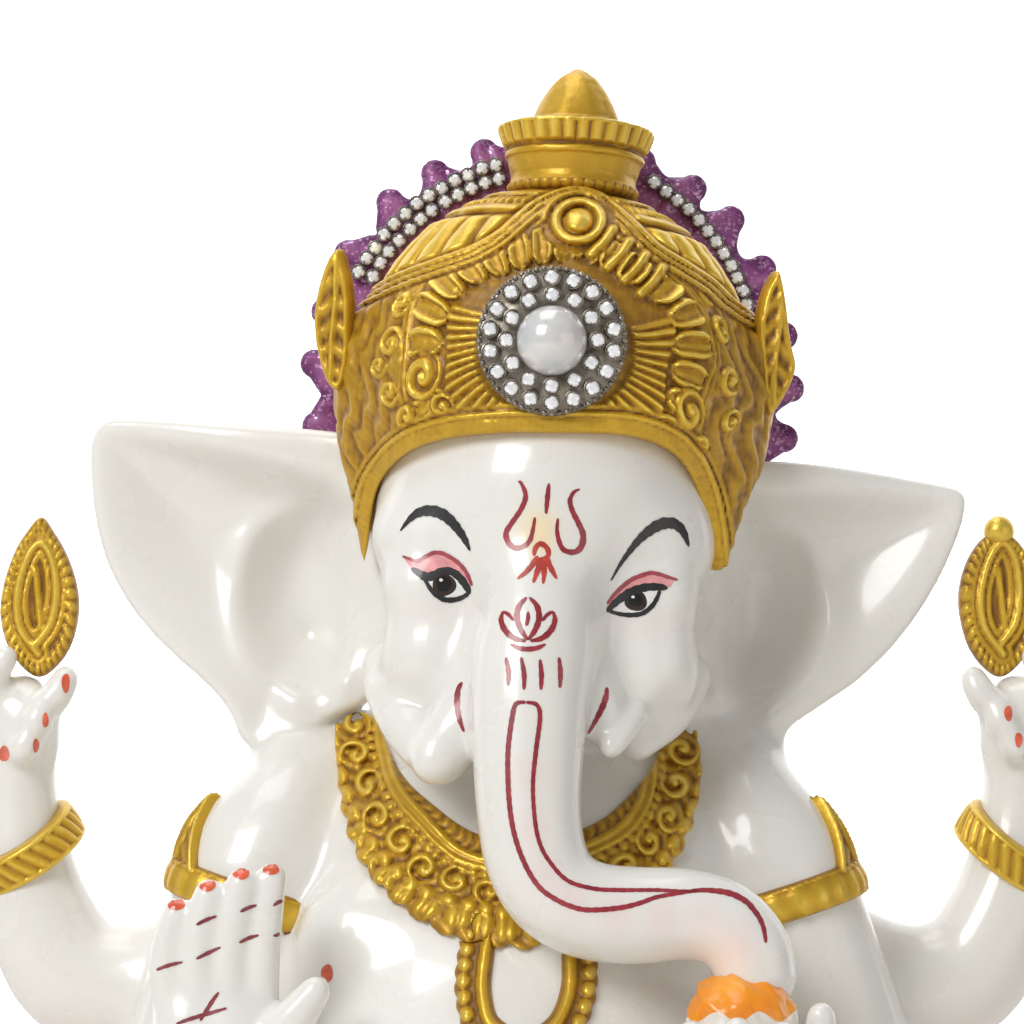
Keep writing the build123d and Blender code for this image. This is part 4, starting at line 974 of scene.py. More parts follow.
def tiara_height(x, y, z):
    """Relief of the crown's front plate, 0 to about 1.4 mm: ribs and a ring of petals that fan out from the brooch."""
    az, up, rad, side = crown_frame(x, y, z)
    P = np.stack([x, y, z], 1)
    s = az * 31.0 + 0.6 + 0.55 * noise3(P, 0.42, 51)
    t = up - 5.2 + 0.5 * noise3(P, 0.45, 52)
    rho, al = np.hypot(s, t), np.arctan2(t, s)
    left = s < 0
    out = np.where(left, np.pi - np.abs(al), np.abs(al)) * np.sign(t + 1e-9)  # angle above the horizontal, either side
    h = np.zeros_like(s)
    # thin drooping ribs beside the brooch
    ra = smooth(-1.0, -0.86, out) * smooth(0.36, 0.22, out)
    rend = np.where(left, 16.6, 17.8) + 0.8 * np.sin(al * 7)
    rb = smooth(11.0, 11.6, rho) * smooth(rend + 0.6, rend - 0.4, rho) * ra
    ribs = 0.5 + 0.5 * np.cos(out * 66 + 0.34 * (rho - 14) ** 1.0)
    h = np.maximum(h, rb * (0.05 + 1.15 * ribs**0.9))
    # ring of dished petals
    r0 = 12.3 + 5.4 * smooth(0.95, 0.25, out) + np.where(left, -0.6, 0.2)
    n = 28
    k = (al / (2 * np.pi) * n + 0.2 + 0.1 * np.sin(al * 5)) % 1.0 - 0.5
    u = k * (2 * np.pi / n) * rho
    half = 0.49 * 2 * np.pi * (r0 + 3.2) / n
    L = 6.4 + 0.4 * np.sin(al * 9 + 1.0) + np.where(left, 1.0, 0.0) * smooth(0.2, 0.6, out) * smooth(1.2, 0.9, out)
    tt = np.clip((rho - r0) / L, 0, 1)
    w = half * np.sqrt(np.clip(1 - np.abs(2 * tt - 1.05) ** 3.2, 0, 1)) * (0.78 + 0.22 * tt)
    e = np.abs(u) / np.maximum(w, 0.05)
    rim = bump(e - 0.80, 0.27)
    body = np.where(e < 1.06, np.maximum(1.3 * rim, 0.30 + 0.2 * bump(u, 0.28 * half) * smooth(0.1, 0.3, tt)), 0)
    pet = body * (rho > r0) * (rho < r0 + L) * smooth(-0.95, -0.7, out)
    h = np.maximum(h, pet * 1.1)
    for off, amp in ((0.9, 0.55), (1.9, 0.45)):
        h = np.maximum(h, amp * bump(rho - r0 - L - off, 0.42) * smooth(-0.8, -0.5, out))
    # scrolls low on each side
    for cx, cz, r, hand in ((-19.6, -6.2, 3.7, 1), (21.4, -8.2, 3.6, -1), (-15.6, -10.6, 2.2, -1), (25.0, -12.6, 2.6, 1), (-22.4, -12.0, 2.5, 1), (-27.4, -1.0, 2.6, -1), (-26.6, 4.6, 2.3, 1), (29.0, -2.0, 2.5, 1), (28.2, 4.4, 2.3, -1),
                            (-26.4, -8.4, 2.3, 1), (-25.6, -16.0, 2.0, -1), (27.4, -17.0, 2.0, 1), (-29.6, -4.6, 2.0, 1), (31.0, -8.0, 2.2, -1), (-24.6, 9.0, 1.9, -1), (27.0, 9.4, 1.9, 1)):
        d = np.hypot(s - cx, t - cz)
        h = np.where(d < r, spiral(s - cx, t - cz, r, 1.5, hand) * 1.1 + 0.1, h)
    # leaf veins that fill the rest
    sidef = smooth(22.0, 25.0, np.abs(s)) * (h < 0.12)
    vein = 0.5 + 0.5 * np.cos(1.5 * np.abs(s) + 2.2 * np.sin(t * 0.5) + 0.9 * np.sin(t * 1.1 + s))
    h = np.maximum(h, sidef * 0.42 * vein)
    # plain band along the arch, then two fine ridges
    xa = CROWN_C[0] + side
    da, along, _ = path2d(ARCH, xa, z)
    h = np.where(da < 4.0, h * smooth(3.0, 4.0, da), h)
    h = np.maximum(h, 0.55 * smooth(2.3, 1.9, da))
    h = np.maximum(h, 0.85 * bump(da - 2.6, 0.5))
    h = np.maximum(h, 0.5 * bump(da - 3.7, 0.42))
    # fine parallel lines along the top edge
    dr, alr, _ = path2d(RIM, xa, z)
    topm = smooth(3.9, 3.3, dr)
    h = h * (1 - topm)
    lines = np.maximum.reduce([0.8 * bump(dr - 0.6, 0.55), 0.6 * bump(dr - 1.6, 0.42), 0.65 * bump(dr - 2.6, 0.42)])
    h = np.maximum(h, lines * topm)
    # rosette with its button, standing in the peak, and the curl round it
    ds, dt = xa - ROSE[0], z - ROSE[1]
    rr = np.hypot(ds, dt)
    ra2 = np.arctan2(dt, ds)
    h = np.where(rr < 5.4, 0.05, h)
    h = np.maximum(h, 1.35 * bump(rr - 3.3, 0.75))
    h = np.maximum(h, np.where(rr < 2.15, 1.5 * np.sqrt(np.clip(1 - (rr / 2.15) ** 2, 0, 1)), 0))
    h = np.maximum(h, 0.8 * bump(rr - 5.0, 0.5) * smooth(0.6, 1.2, ra2))
    for i in range(4):  # slanting leaves beside the rosette
        a0 = (ROSE[0] + 5.0 + 2.5 * i, ROSE[1] - 1.2 - 1.9 * i)
        a1 = (a0[0] - 1.2, a0[1] - 2.2)
        a2 = (a0[0] - 2.9, a0[1] - 4.2)
        d, _, _ = path2d(catmull([a0, a1, a2], 5), xa, z)
        h = np.where(d < 1.2, np.maximum(h * 0.4, 1.15 * bump(d, 0.8)), h)
    grain = 0.07 * noise3(P, 2.6, 5) + 0.05 * noise3(P, 5.1, 6)
    return h + grain


def cap_height(x, y, z):
    """Relief of the dome behind the plate: broad flutes with beaded bands between them."""
    az, up, rad, side = crown_frame(x, y, z)
    n = 30
    k = (az / (2 * np.pi) * n) % 1.0 - 0.5
    flute = np.sqrt(np.clip(1 - (k / 0.46) ** 2, 0, 1))
    h = np.zeros_like(x)
    tier = smooth(13.0, 13.8, up) * smooth(24.6, 23.8, up)
    h = np.maximum(h, flute * 1.1 * tier)
    for u0, w, amp in ((12.2, 0.9, 1.0), (25.6, 0.8, 0.9), (28.6, 0.6, 0.6), (10.0, 0.6, 0.6)):
        h = np.maximum(h, amp * bump(up - u0, w))
    h = np.maximum(h, 0.75 * beads(az * 22.0, up - 27.1, 1.9, 0.85))
    h = np.maximum(h, 0.7 * beads(az * 29.0, up - 8.4, 2.2, 0.95))
    n2 = 22
    k2 = (az / (2 * np.pi) * n2) % 1.0 - 0.5
    low = smooth(7.4, 6.6, up)
    h = np.maximum(h, low * petal(k2 * (2 * np.pi / n2) * 29.0, 6.6 - up, 3.6, 13.0) * 1.2)
    h = np.maximum(h, low * 0.8 * bump(up + 9.5, 0.8))
    return h + 0.06 * noise3(np.stack([x, y, z], 1), 2.6, 7)


def finish_gold(name, g, node, height=None, lo=0.0, hi=1.2, extra=None, polish=1, nodes=()):
    v, q, n = g.surface(polish)
    # painted shade and highlight: the relief height, from 0 low down to 1 high up, is stored so the gold paint turns
    # dark in hollows and bright on top
    relief_shade = np.full(len(v), 0.6)
    if height is not None:
        relief_shade = np.clip((height(v[:, 0], v[:, 1], v[:, 2]) - lo) / (hi - lo), 0, 1)
    attrs = {"relief_shade": relief_shade}
    if extra:
        attrs.update(extra(v, n))
    return mesh_object(name, v, q, M_GOLD, node=node, normals=n, attrs=attrs, nodes=nodes)


def build_crown():
    lo, hi = (-34, -46, 140), (46, 34, 214)
    outer = Grid(lo, hi, HG).add(ell(CROWN_C, (29.2, 30.2, 31.0), (0, 4.5, 0)))
    plate = Grid(lo, hi, HG).add(ell(CROWN_C, (30.2, 31.4, 31.6), (0, 4.5, 0)))
    # the sides run almost straight down to the temples
    plate.add(tube([(-21.6, -10.0, 186.0, 5.4), (-20.8, -11.0, 174.0, 4.9), (-20.0, -10.0, 165.0, 3.8), (-20.4, -8.0, 159.0, 2.6), (-20.8, -7.0, 154.6, 1.3)]), 5)
    plate.add(tube([(31.6, -10.0, 184.0, 5.4), (30.2, -13.0, 172.0, 4.9), (28.4, -17.0, 164.6, 4.0), (28.0, -18.6, 159.4, 3.0), (28.2, -18.6, 155.6, 1.4)]), 5)
    x, y, z = plate.axes()
    xa = CROWN_C[0] + (x - CROWN_C[0]) * UPZ - (z - CROWN_C[2]) * UPX
    X, Z = (xa + 0 * z)[:, 0, :], (z + 0 * x)[:, 0, :]
    _, _, la = path2d(ARCH, X, Z)  # negative below the arch
    _, _, lr = path2d(RIM, X, Z)
    relief(plate, tiara_height)
    front = (y + 3.0) + 0 * x + 0 * z
    plate.F = smax(plate.F, (-la)[:, None, :].astype(F32), 0.5)
    plate.F = smax(plate.F, lr[:, None, :].astype(F32), 0.9)
    plate.F = smax(plate.F, front.astype(F32), 0.8)
    inner = Grid(lo, hi, HG).add(ell(CROWN_C, (27.6, 28.6, 29.4), (0, 4.5, 0)))
    plate.sub(inner, 0.5)
    finish_gold("crown_front_plate", plate, "crown_tiara", tiara_height, 0.0, 1.15)
    dome = outer

    def clear_of_plate(x, y, z):
        # the dome lies plain and a little lower where the front plate covers it
        _, _, s = path2d(RIM, CROWN_C[0] + (x - CROWN_C[0]) * UPZ - (z - CROWN_C[2]) * UPX, z)
        w = smooth(0.8, -0.8, s) * smooth(-2.5, -4.0, y)
        return cap_height(x, y, z) * (1 - w) - 0.5 * w

    relief(dome, clear_of_plate)
    dome.F = smax(dome.F, ((164.0 + 0.05 * (x - 4)) - z + 0 * y).astype(F32), 0.8)
    # the forehead stays bare
    dome.F = smax(dome.F, -np.maximum((la - 1.5)[:, None, :] + 0 * y, y + 10.0 + 0 * x).astype(F32), 0.4)
    finish_gold("crown_dome", dome, "crown_cap", cap_height, 0.0, 1.0)


FIN_O = np.array([7.8, -6.0, 209.2])
FIN_AX = np.array([0.05, 0.05, 1.0]) / np.linalg.norm([0.05, 0.05, 1.0])
FIN_PROF = [(0.0, 8.8), (0.5, 9.5), (1.4, 9.9), (2.2, 9.6), (3.0, 9.5), (3.6, 9.7), (5.2, 10.2), (5.7, 10.6), (6.3, 10.6), (6.8, 10.1), (7.4, 10.3), (8.6, 10.8), (9.9, 11.2), (10.4, 10.9), (10.8, 9.4), (11.1, 7.8), (11.6, 6.9), (12.6, 6.5), (14.6, 5.6), (16.6, 4.4), (18.2, 3.0), (19.2, 1.5), (19.55, 0.6), (19.6, 0.0)]


def build_finial():
    nu, nv = 260, 190
    pr = catmull([(a, b) for a, b in FIN_PROF], 12)
    seg = np.concatenate([[0], np.cumsum(np.hypot(*np.diff(pr, axis=0).T))])
    sv = np.linspace(0, seg[-1], nv)
    hz, r = np.interp(sv, seg, pr[:, 0]), np.interp(sv, seg, pr[:, 1])
    e1 = np.cross([0, 1, 0], FIN_AX)
    e1 /= np.linalg.norm(e1)
    e2 = np.cross(FIN_AX, e1)
    th = np.arange(nu) / nu * 2 * np.pi
    T, HZ = np.meshgrid(th, hz)
    Rr = np.tile(r[:, None], (1, nu))
    h = np.zeros_like(T)
    gad = np.abs(np.cos(T * 15 + 0.25 * np.sin(T * 4)))
    h += (0.75 * np.maximum(gad**0.7, 0.9 * bump(HZ - 10.2, 0.5))) * smooth(6.9, 7.5, HZ) * smooth(11.0, 10.2, HZ)
    h += 0.3 * beads(T * 9.6, HZ - 0.9, 1.7, 0.8)
    h += 0.12 * noise3(np.stack([T * 9, HZ, 0 * T], -1).reshape(-1, 3), 0.9, 12).reshape(T.shape) * smooth(2.0, 3.0, HZ)
    h *= np.clip(Rr / 2.5, 0, 1)
    P = FIN_O + HZ[..., None] * FIN_AX + (Rr + h - 0.35)[..., None].clip(0.0) * (np.cos(T)[..., None] * e1 + np.sin(T)[..., None] * e2)
    P = P + (0.05 * noise3(P.reshape(-1, 3), 3.0, 11)).reshape(nv, nu, 1) * FIN_AX
    verts = P.reshape(-1, 3)
    i, j = np.meshgrid(np.arange(nv - 1), np.arange(nu), indexing="ij")
    a, b = i * nu + j, i * nu + (j + 1) % nu
    quads = np.stack([a, b, b + nu, a + nu], -1).reshape(-1, 4)
    base = len(verts)
    verts = np.vstack([verts, FIN_O])
    faces = [tuple(q) for q in quads] + [(base, (k + 1) % nu, k) for k in range(nu)]
    relief_shade = np.concatenate([np.clip(h / 0.7, 0, 1).ravel() * 0.8 + 0.2 * (h.ravel() > 0.1), [0.5]])
    plain = ((HZ > 1.6) & (HZ < 6.4)) | (HZ > 11.2)
    relief_shade[:-1] = np.where(plain.ravel(), np.maximum(relief_shade[:-1], 0.62), relief_shade[:-1])
    mesh_object("crown_kalash_finial", verts, faces, M_GOLD, node="crown_finial", attrs={"relief_shade": relief_shade})


def leaf_plate(name, node, origin, ux, uz, outline, thick, fn, node_extra=(), h=None):
    """A relief leaf in its own plane: ux across, uz up, standing forward along their normal."""
    ux, uz = np.array(ux, float), np.array(uz, float)
    ux /= np.linalg.norm(ux)
    uz = uz - ux * (uz @ ux)
    uz /= np.linalg.norm(uz)
    nn = np.cross(ux, uz)  # towards the viewer
    o = np.array(origin, float)
    loop = closed(outline, 5)
    h = h or HG
    corners = np.array([o + a * ux + b * uz + c * nn for a in (loop[:, 0].min(), loop[:, 0].max()) for b in (loop[:, 1].min(), loop[:, 1].max()) for c in (-thick, thick)])
    g = Grid(corners.min(0) - 2.5, corners.max(0) + 2.5, h)
    x, y, z = g.axes()
    dx, dy, dz = x - o[0], y - o[1], z - o[2]
    U = dx * ux[0] + dy * ux[1] + dz * ux[2]
    V = dx * uz[0] + dy * uz[1] + dz * uz[2]
    W = dx * nn[0] + dy * nn[1] + dz * nn[2]
    nb, mb = 220, 220
    gu = np.linspace(loop[:, 0].min() - 4, loop[:, 0].max() + 4, nb)
    gv = np.linspace(loop[:, 1].min() - 4, loop[:, 1].max() + 4, mb)
    GU, GV = np.meshgrid(gu, gv, indexing="ij")
    D = poly2d(loop, GU, GV)
    Hh = fn(GU, GV, D)

    def look(T, a, b):
        fu = np.clip((a - gu[0]) / (gu[1] - gu[0]), 0, nb - 1.001)
        fv = np.clip((b - gv[0]) / (gv[1] - gv[0]), 0, mb - 1.001)
        i, j = fu.astype(int), fv.astype(int)
        p, q = fu - i, fv - j
        return T[i, j] * (1 - p) * (1 - q) + T[i + 1, j] * p * (1 - q) + T[i, j + 1] * (1 - p) * q + T[i + 1, j + 1] * p * q

    d2, hh = look(D, U, V), look(Hh, U, V)
    front = W - (thick / 2 + hh)
    back = -W - (thick / 2 + 0.55 * hh)
    slab = np.maximum(front, back)
    g.F = smax(d2, slab, 1.0).astype(F32)
    v, q, n = g.surface(1)
    d = v - o
    hv = look(Hh, d @ ux, d @ uz)
    return mesh_object(name, v, q, M_GOLD, node=node, normals=n, attrs={"relief_shade": np.clip(hv / 1.0, 0, 1)}, nodes=node_extra)


def wing_relief(U, V, D):
    """Leaf lying against the crown: rolled rim, a bent midrib, side lobes."""
    h = 0.8 * bump(D + 0.6, 0.6)
    mid = U - 0.5 * np.sin(V * 0.22) - 0.1
    h = np.maximum(h, 0.9 * bump(mid, 0.5) * (D < -0.9))
    lobes = 0.5 + 0.5 * np.cos(1.9 * (V + 0.9 * np.abs(mid)))
    h = np.maximum(h, 0.6 * lobes * (D < -1.0))
    return h + 0.07 * noise3(np.stack([U.ravel(), V.ravel(), 0 * U.ravel()], 1), 3.0, 21).reshape(U.shape)


def emblem_relief(U, V, D):
    """Leaf in the rear hands: beaded rim, long raised loop inside, beads up the middle."""
    h = 0.85 * beads(np.arctan2(V - 11.0, U * 2.2) * 11.0, D + 0.95, 1.9, 0.9)
    loop = catmull([(0.2, 2.0), (-2.6, 6.0), (-3.1, 11.0), (-1.6, 16.4), (0.4, 18.6), (2.2, 16.0), (2.8, 11.0), (2.0, 6.5), (-0.2, 3.4)], 6)
    d, _, _ = path2d(loop, U, V)
    h = np.maximum(h, 1.0 * bump(d, 0.7))
    h = np.maximum(h, 0.6 * bump(d - 1.25, 0.45) * (D < -1.4))
    h = np.maximum(h, 0.8 * bump(U - 0.2 + 0.1 * (V - 9), 0.55) * smooth(5, 6, V) * smooth(15.5, 14.5, V))
    return h


def build_wings():
    right = [(0.9, 10.7), (1.9, 8.2), (2.6, 4.4), (2.7, -0.5), (2.4, -5.6), (1.3, -9.6), (-0.6, -9.6), (-2.0, -6.6), (-2.9, -2.6), (-3.0, 1.6), (-2.2, 5.4), (-0.8, 9.0)]
    left = [(0.3, 10.5), (1.1, 8.2), (1.7, 4.8), (2.3, 0.4), (3.2, -3.6), (1.8, -7.4), (-0.8, -10.9), (-2.0, -8.6), (-2.5, -4.0), (-2.9, 1.6), (-2.2, 6.0), (-1.0, 9.0)]
    leaf_plate("crown_wing_right", "right_crown_wing", (-26.7, -13.6, 190.3), (1, -0.35, 0), (0.0, -0.04, 1), right, 2.4, wing_relief)
    leaf_plate("crown_wing_left", "left_crown_wing", (37.0, -13.0, 187.4), (1, 0.35, 0), (0.0, -0.04, 1), left, 2.4, wing_relief)
    for sx, name, node, ball in ((-1, "hand_emblem_right", "right_hand_finial", False), (1, "hand_emblem_left", "left_hand_finial", True)):
        out = [(0.2, 22.6), (2.0, 20.4), (4.0, 17.0), (5.6, 12.4), (5.9, 8.0), (4.8, 3.4), (2.6, 0.2), (0, -1.4), (-2.6, 0.2), (-4.8, 3.4), (-5.9, 8.0), (-5.4, 12.6), (-3.8, 17.4), (-1.8, 20.6)]
        if ball:
            out = [(0, 20.4), (2.6, 19.2), (4.8, 16.0), (6.0, 12.0), (6.0, 8.0), (4.8, 3.4), (2.6, 0.2), (0, -1.4), (-2.6, 0.2), (-4.8, 3.4), (-6.0, 8.0), (-6.0, 12.0), (-4.8, 16.0), (-2.6, 19.2)]
        ob = leaf_plate(name, node, (sx * 71.8, 8.0, 140.6), (1, sx * 0.12, 0), (0.0, 0.02, 1), out, 2.6, emblem_relief)
        if ball:
            add_beads(ob, [((sx * 71.8, 7.6, 161.0), 2.3)])


def add_beads(ob, balls, relief_shade=0.9, seg=20):
    """Joins round beads to a gilded piece."""
    bm = bmesh.new()
    bm.from_mesh(ob.data)
    layer = bm.verts.layers.float.get("relief_shade")
    for c, r in balls:
        made = bmesh.ops.create_uvsphere(bm, u_segments=seg, v_segments=seg // 2, radius=r * MM, matrix=Matrix.Translation(Vector(c) * MM))
        for vv in made["verts"]:
            if layer:
                vv[layer] = relief_shade
        for f in {f for vv in made["verts"] for f in vv.link_faces}:
            f.smooth = True
    bm.to_mesh(ob.data)
    bm.free()


def bangle_mesh(name, node, centre, axis, r_in, r_out, width, style):
    """A torus-like band with rope or bead relief."""
    ax = np.array(axis, float)
    ax /= np.linalg.norm(ax)
    e1 = np.cross(ax, [0, 1, 0.2])
    e1 /= np.linalg.norm(e1)
    e2 = np.cross(ax, e1)
    nu, nv = 300, 64
    T, S = np.meshgrid(np.arange(nu) / nu * 2 * np.pi, np.arange(nv) / nv * 2 * np.pi)
    rm, rt = (r_in + r_out) / 2, (r_out - r_in) / 2
    cx = np.sign(np.cos(S)) * np.abs(np.cos(S)) ** 0.7
    sx = np.sign(np.sin(S)) * np.abs(np.sin(S)) ** 0.7
    outw = np.clip(np.cos(S), 0, 1)
    vv = sx * width / 2
    if style == "rope":
        h = 0.55 * np.abs(np.sin(T * 13 + vv * 0.8)) * smooth(0.0, 0.4, outw)
        h = np.maximum(h, 0.7 * bump(np.abs(vv) - width * 0.42, width * 0.1) * (outw > 0))
    else:
        h = 0.8 * beads(T * rm, vv, 2.6, 1.15) * smooth(0.0, 0.3, outw)
        h = np.maximum(h, 0.5 * beads(T * rm + 1.3, np.abs(vv) - width * 0.36, 1.5, 0.7) * smooth(0.0, 0.3, outw))
    rr = rm + rt * cx + h
    P = np.array(centre) + rr[..., None] * (np.cos(T)[..., None] * e1 + np.sin(T)[..., None] * e2) + vv[..., None] * ax
    i, j = np.meshgrid(np.arange(nv), np.arange(nu), indexing="ij")
    a, b, c, d = i * nu + j, i * nu + (j + 1) % nu, ((i + 1) % nv) * nu + (j + 1) % nu, ((i + 1) % nv) * nu + j
    mesh_object(name, P.reshape(-1, 3), np.stack([a, b, c, d], -1).reshape(-1, 4), M_GOLD, node=node, attrs={"relief_shade": np.clip(h / 0.6, 0, 1).ravel() * 0.75 + 0.2})


BIB_MID = catmull([(-24.6, 135.0), (-24.2, 128.5), (-22.0, 122.0), (-18.6, 116.6), (-14.0, 112.0), (-8.0, 108.8), (0.0, 107.4), (8.6, 109.0), (15.6, 112.6), (20.6, 118.0), (23.0, 124.0), (23.0, 130.0), (22.4, 134.5)], 5)
BIB_OUT = [(-27.3, 134.2), (-27.0, 127.7), (-25.4, 118.0), (-22.6, 111.6), (-17.4, 105.9), (-11.0, 101.8), (-5.0, 100.2), (3.0, 99.8), (10.5, 101.6), (17.5, 106.2), (23.0, 113.0), (25.8, 120.2), (26.6, 126.0), (26.0, 133.0)]
BIB_IN = [(20.6, 133.5), (20.0, 127.0), (16.0, 121.5), (11.0, 117.4), (4.0, 115.2), (-3.0, 115.2), (-7.4, 116.4), (-12.2, 119.8), (-17.4, 124.9), (-21.9, 134.6)]
LOOP_MID = catmull([(-5.2, 103.5), (-6.1, 98.5), (-6.4, 93.6), (-4.8, 88.6), (0.6, 86.0), (5.6, 88.4), (8.0, 93.4), (8.2, 99.0), (7.6, 103.5)], 6)


def bib_height2(X, Z):
    """Scrolls, beads and a scalloped leaf edge, by place on the chest."""
    sh = X.shape
    P = np.stack([X.ravel(), 0 * X.ravel(), Z.ravel()], 1)
    wx, wz = 0.5 * noise3(P, 0.5, 61).reshape(sh), 0.5 * noise3(P, 0.5, 62).reshape(sh)
    d, u, v = path2d(BIB_MID, X + wx, Z + wz)  # v positive towards the throat
    h = 0.5 * smooth(5.4, 4.6, v) * smooth(2.9, 3.6, v)
    h = np.maximum(h, 0.85 * bump(v - 4.6, 0.55))
    h = np.maximum(h, 0.8 * bump(v - 3.3, 0.5))
    h = np.maximum(h, 0.75 * beads(u, v - 2.2, 1.7, 0.8))
    per = 4.9
    k = (u % per) - per / 2
    odd = (u // per) % 2 > 0.5
    vv = v + np.where(odd, 0.5, -0.2)
    a, b = spiral(k, vv, 2.45, 1.25), spiral(k, vv, 2.45, 1.25, -1)
    h = np.maximum(h, 1.15 * np.where(odd, a, b))
    kk = ((u + 1.1) % 2.45) - 1.225
    h = np.maximum(h, 0.95 * np.sqrt(np.clip(1 - (kk / 1.15) ** 2 - ((v + 3.3) / 1.1) ** 2, 0, 1)))
    kk = (u % 3.2) - 1.6
    leaf = np.sqrt(np.clip(1 - (kk / 1.55) ** 2 - ((v + 5.2) / 1.9) ** 2, 0, 1))
    h = np.maximum(h, 0.95 * leaf - 0.35 * bump(kk, 0.35) * (leaf > 0.3))
    fill = 0.35 * (0.5 + 0.5 * np.sin(3.1 * u + 2.0 * np.sin(1.7 * v)))
    h = np.maximum(h, fill * (h < 0.1))
    return h + 0.06 * noise3(P, 2.8, 63).reshape(sh)


def build_necklace():
    lo, hi = (-34, -48, 80), (34, 4, 140)
    g = Grid(lo, hi, HG)
    x, y, z = g.axes()
    P = np.stack(np.broadcast_arrays(x, y, z), -1).reshape(-1, 3).astype(float)
    base = WHITE_SKIN_TORSO.sample(P).reshape(g.F.shape).astype(F32)
    X, Z = (x + 0 * z)[:, 0, :].astype(float), (z + 0 * x)[:, 0, :].astype(float)
    outline = np.vstack([catmull(BIB_OUT, 4), catmull(BIB_IN, 4)])
    d2 = poly2d(outline, X, Z)
    _, u, v = path2d(BIB_MID, X, Z)
    scal = 0.9 * np.abs(np.sin(u * np.pi / 3.1)) * smooth(-3.0, -4.5, v)  # leafy outer edge
    d2 = d2 - scal + 0.6 * smooth(-3.0, -4.5, v)
    hh = bib_height2(X, Z)
    face = (y + 2.0 + 0 * x + 0 * z).astype(F32)

    def shell(d2, hh, thick, cut=0.9):
        F = smax(base - (thick + hh)[:, None, :].astype(F32), (d2[:, None, :] + 0 * y).astype(F32), cut)
        F = np.maximum(F, -(base + 0.9))
        return np.maximum(F, face)

    g.F = shell(d2, hh, 1.0).astype(F32)
    h_at = lambda a, b, c: bib_height2(a, c)
    finish_gold("necklace_bib", g, "necklace", h_at, 0.0, 1.1)
    g2 = Grid(lo, hi, HG)
    d, u, v = path2d(LOOP_MID, X, Z)

    def loop_h(X, Z):
        d, u, v = path2d(LOOP_MID, X, Z)
        h = 0.9 * beads(u, v + 1.5, 2.1, 1.0)
        h = np.maximum(h, 0.75 * bump(v - 1.1, 0.8))
        return h

    g2.F = shell(d - 2.45 - 0.35 * np.abs(np.sin(u * np.pi / 2.1)) * (v < 0), loop_h(X, Z), 0.9, 1.0).astype(F32)
    g2.F = smax(g2.F, -(g.F - 0.05), 0.2)
    finish_gold("necklace_hanging_loop", g2, "hanging_loop", lambda a, b, c: loop_h(a, c), 0.0, 0.9)


def build_armlets():
    """A band round each upper arm with a pointed leaf that stands up on the outside."""
    for k, node in ((-1, "right_armlet"), (1, "left_armlet")):
        arm = parts_white["front_right_arm" if k < 0 else "front_left_arm"]
        lo, hi = (k * 41 - 19, -28, 94), (k * 41 + 19, 16, 127)
        g = Grid(lo, hi, HG)
        x, y, z = g.axes()
        P = np.stack(np.broadcast_arrays(x, y, z), -1).reshape(-1, 3).astype(float)
        base = arm.sample(P).reshape(g.F.shape).astype(F32)
        a = np.array([k * 0.30, 0.05, -0.95])
        a /= np.linalg.norm(a)
        c = np.array([k * 42.0, -4.8, 107.4])

        def along(px, py, pz):
            return (px - c[0]) * a[0] + (py - c[1]) * a[1] + (pz - c[2]) * a[2]

        def around(px, py, pz):
            e1 = np.cross(a, [0, 1, 0])
            e1 /= np.linalg.norm(e1)
            e2 = np.cross(a, e1)
            d = [px - c[0], py - c[1], pz - c[2]]
            return np.arctan2(d[0] * e2[0] + d[1] * e2[1] + d[2] * e2[2], d[0] * e1[0] + d[1] * e1[1] + d[2] * e1[2])

        # where the leaf points: the outer front quarter
        e1 = np.cross(a, [0, 1, 0])
        e1 /= np.linalg.norm(e1)
        e2 = np.cross(a, e1)
        want = np.array([k * 0.93, -0.38, 0.1])
        mid = math.atan2(want @ e2, want @ e1)

        def height(px, py, pz):
            s, w = along(px, py, pz), around(px, py, pz)
            dw = (w - mid + np.pi) % (2 * np.pi) - np.pi
            u = dw * 11.5
            h = np.maximum(0.8 * bump(s - 0.3, 2.2), 0.55 * bump(np.abs(s) - 2.1, 0.4)) + 0.12 * np.sin(w * 23)
            leaf = -s
            h = np.where(leaf > 2.2, 0, h)
            h = np.maximum(h, np.where(leaf > 1.6, 0.9 * bump(np.abs(u) - (6.6 - 0.62 * (leaf - 2)), 0.7), 0))
            h = np.maximum(h, np.where((leaf > 2.4) & (leaf < 11), 0.7 * bump(u, 0.6), 0))
            h = np.maximum(h, np.where((leaf > 2.4) & (leaf < 10), 0.22 * (0.5 + 0.5 * np.cos(2.6 * (leaf + 0.5 * np.abs(u)))) * (np.abs(u) < 5.8 - 0.6 * (leaf - 2)), 0))
            return h

        X, Y, Z = np.broadcast_arrays(x, y, z)
        s, w = along(X, Y, Z), around(X, Y, Z)
        u = np.abs(((w - mid + np.pi) % (2 * np.pi) - np.pi) * 11.5)
        band = np.abs(s) - 2.6
        leaf = np.maximum(-(-s - 1.0), u - (7.3 - 0.64 * (-s - 2.0)))
        area2 = np.minimum(band, leaf * 0.84)
        near = np.abs(base) < 4
        hh = np.zeros(base.shape, F32)
        hh[near] = height(X[near].astype(float), Y[near].astype(float), Z[near].astype(float))
        F = smax(base - (0.75 + hh), area2.astype(F32), 0.7)
        g.F = np.maximum(F, -(base + 0.9)).astype(F32)
        # the band disappears where the arm runs into the chest
        body = WHITE_SKIN_TORSO.sample(P).reshape(g.F.shape).astype(F32)
        g.F = smax(g.F, -(body + 0.3), 0.3)
        finish_gold("armlet_" + ("right" if k < 0 else "left"), g, node, height, 0.0, 0.9)


# ------------------------------------------------------------------ halo, chain, brooch
HALO_C = (5.0, 184.0)
HALO_Y0, HALO_Y1 = 6.5, 9.5


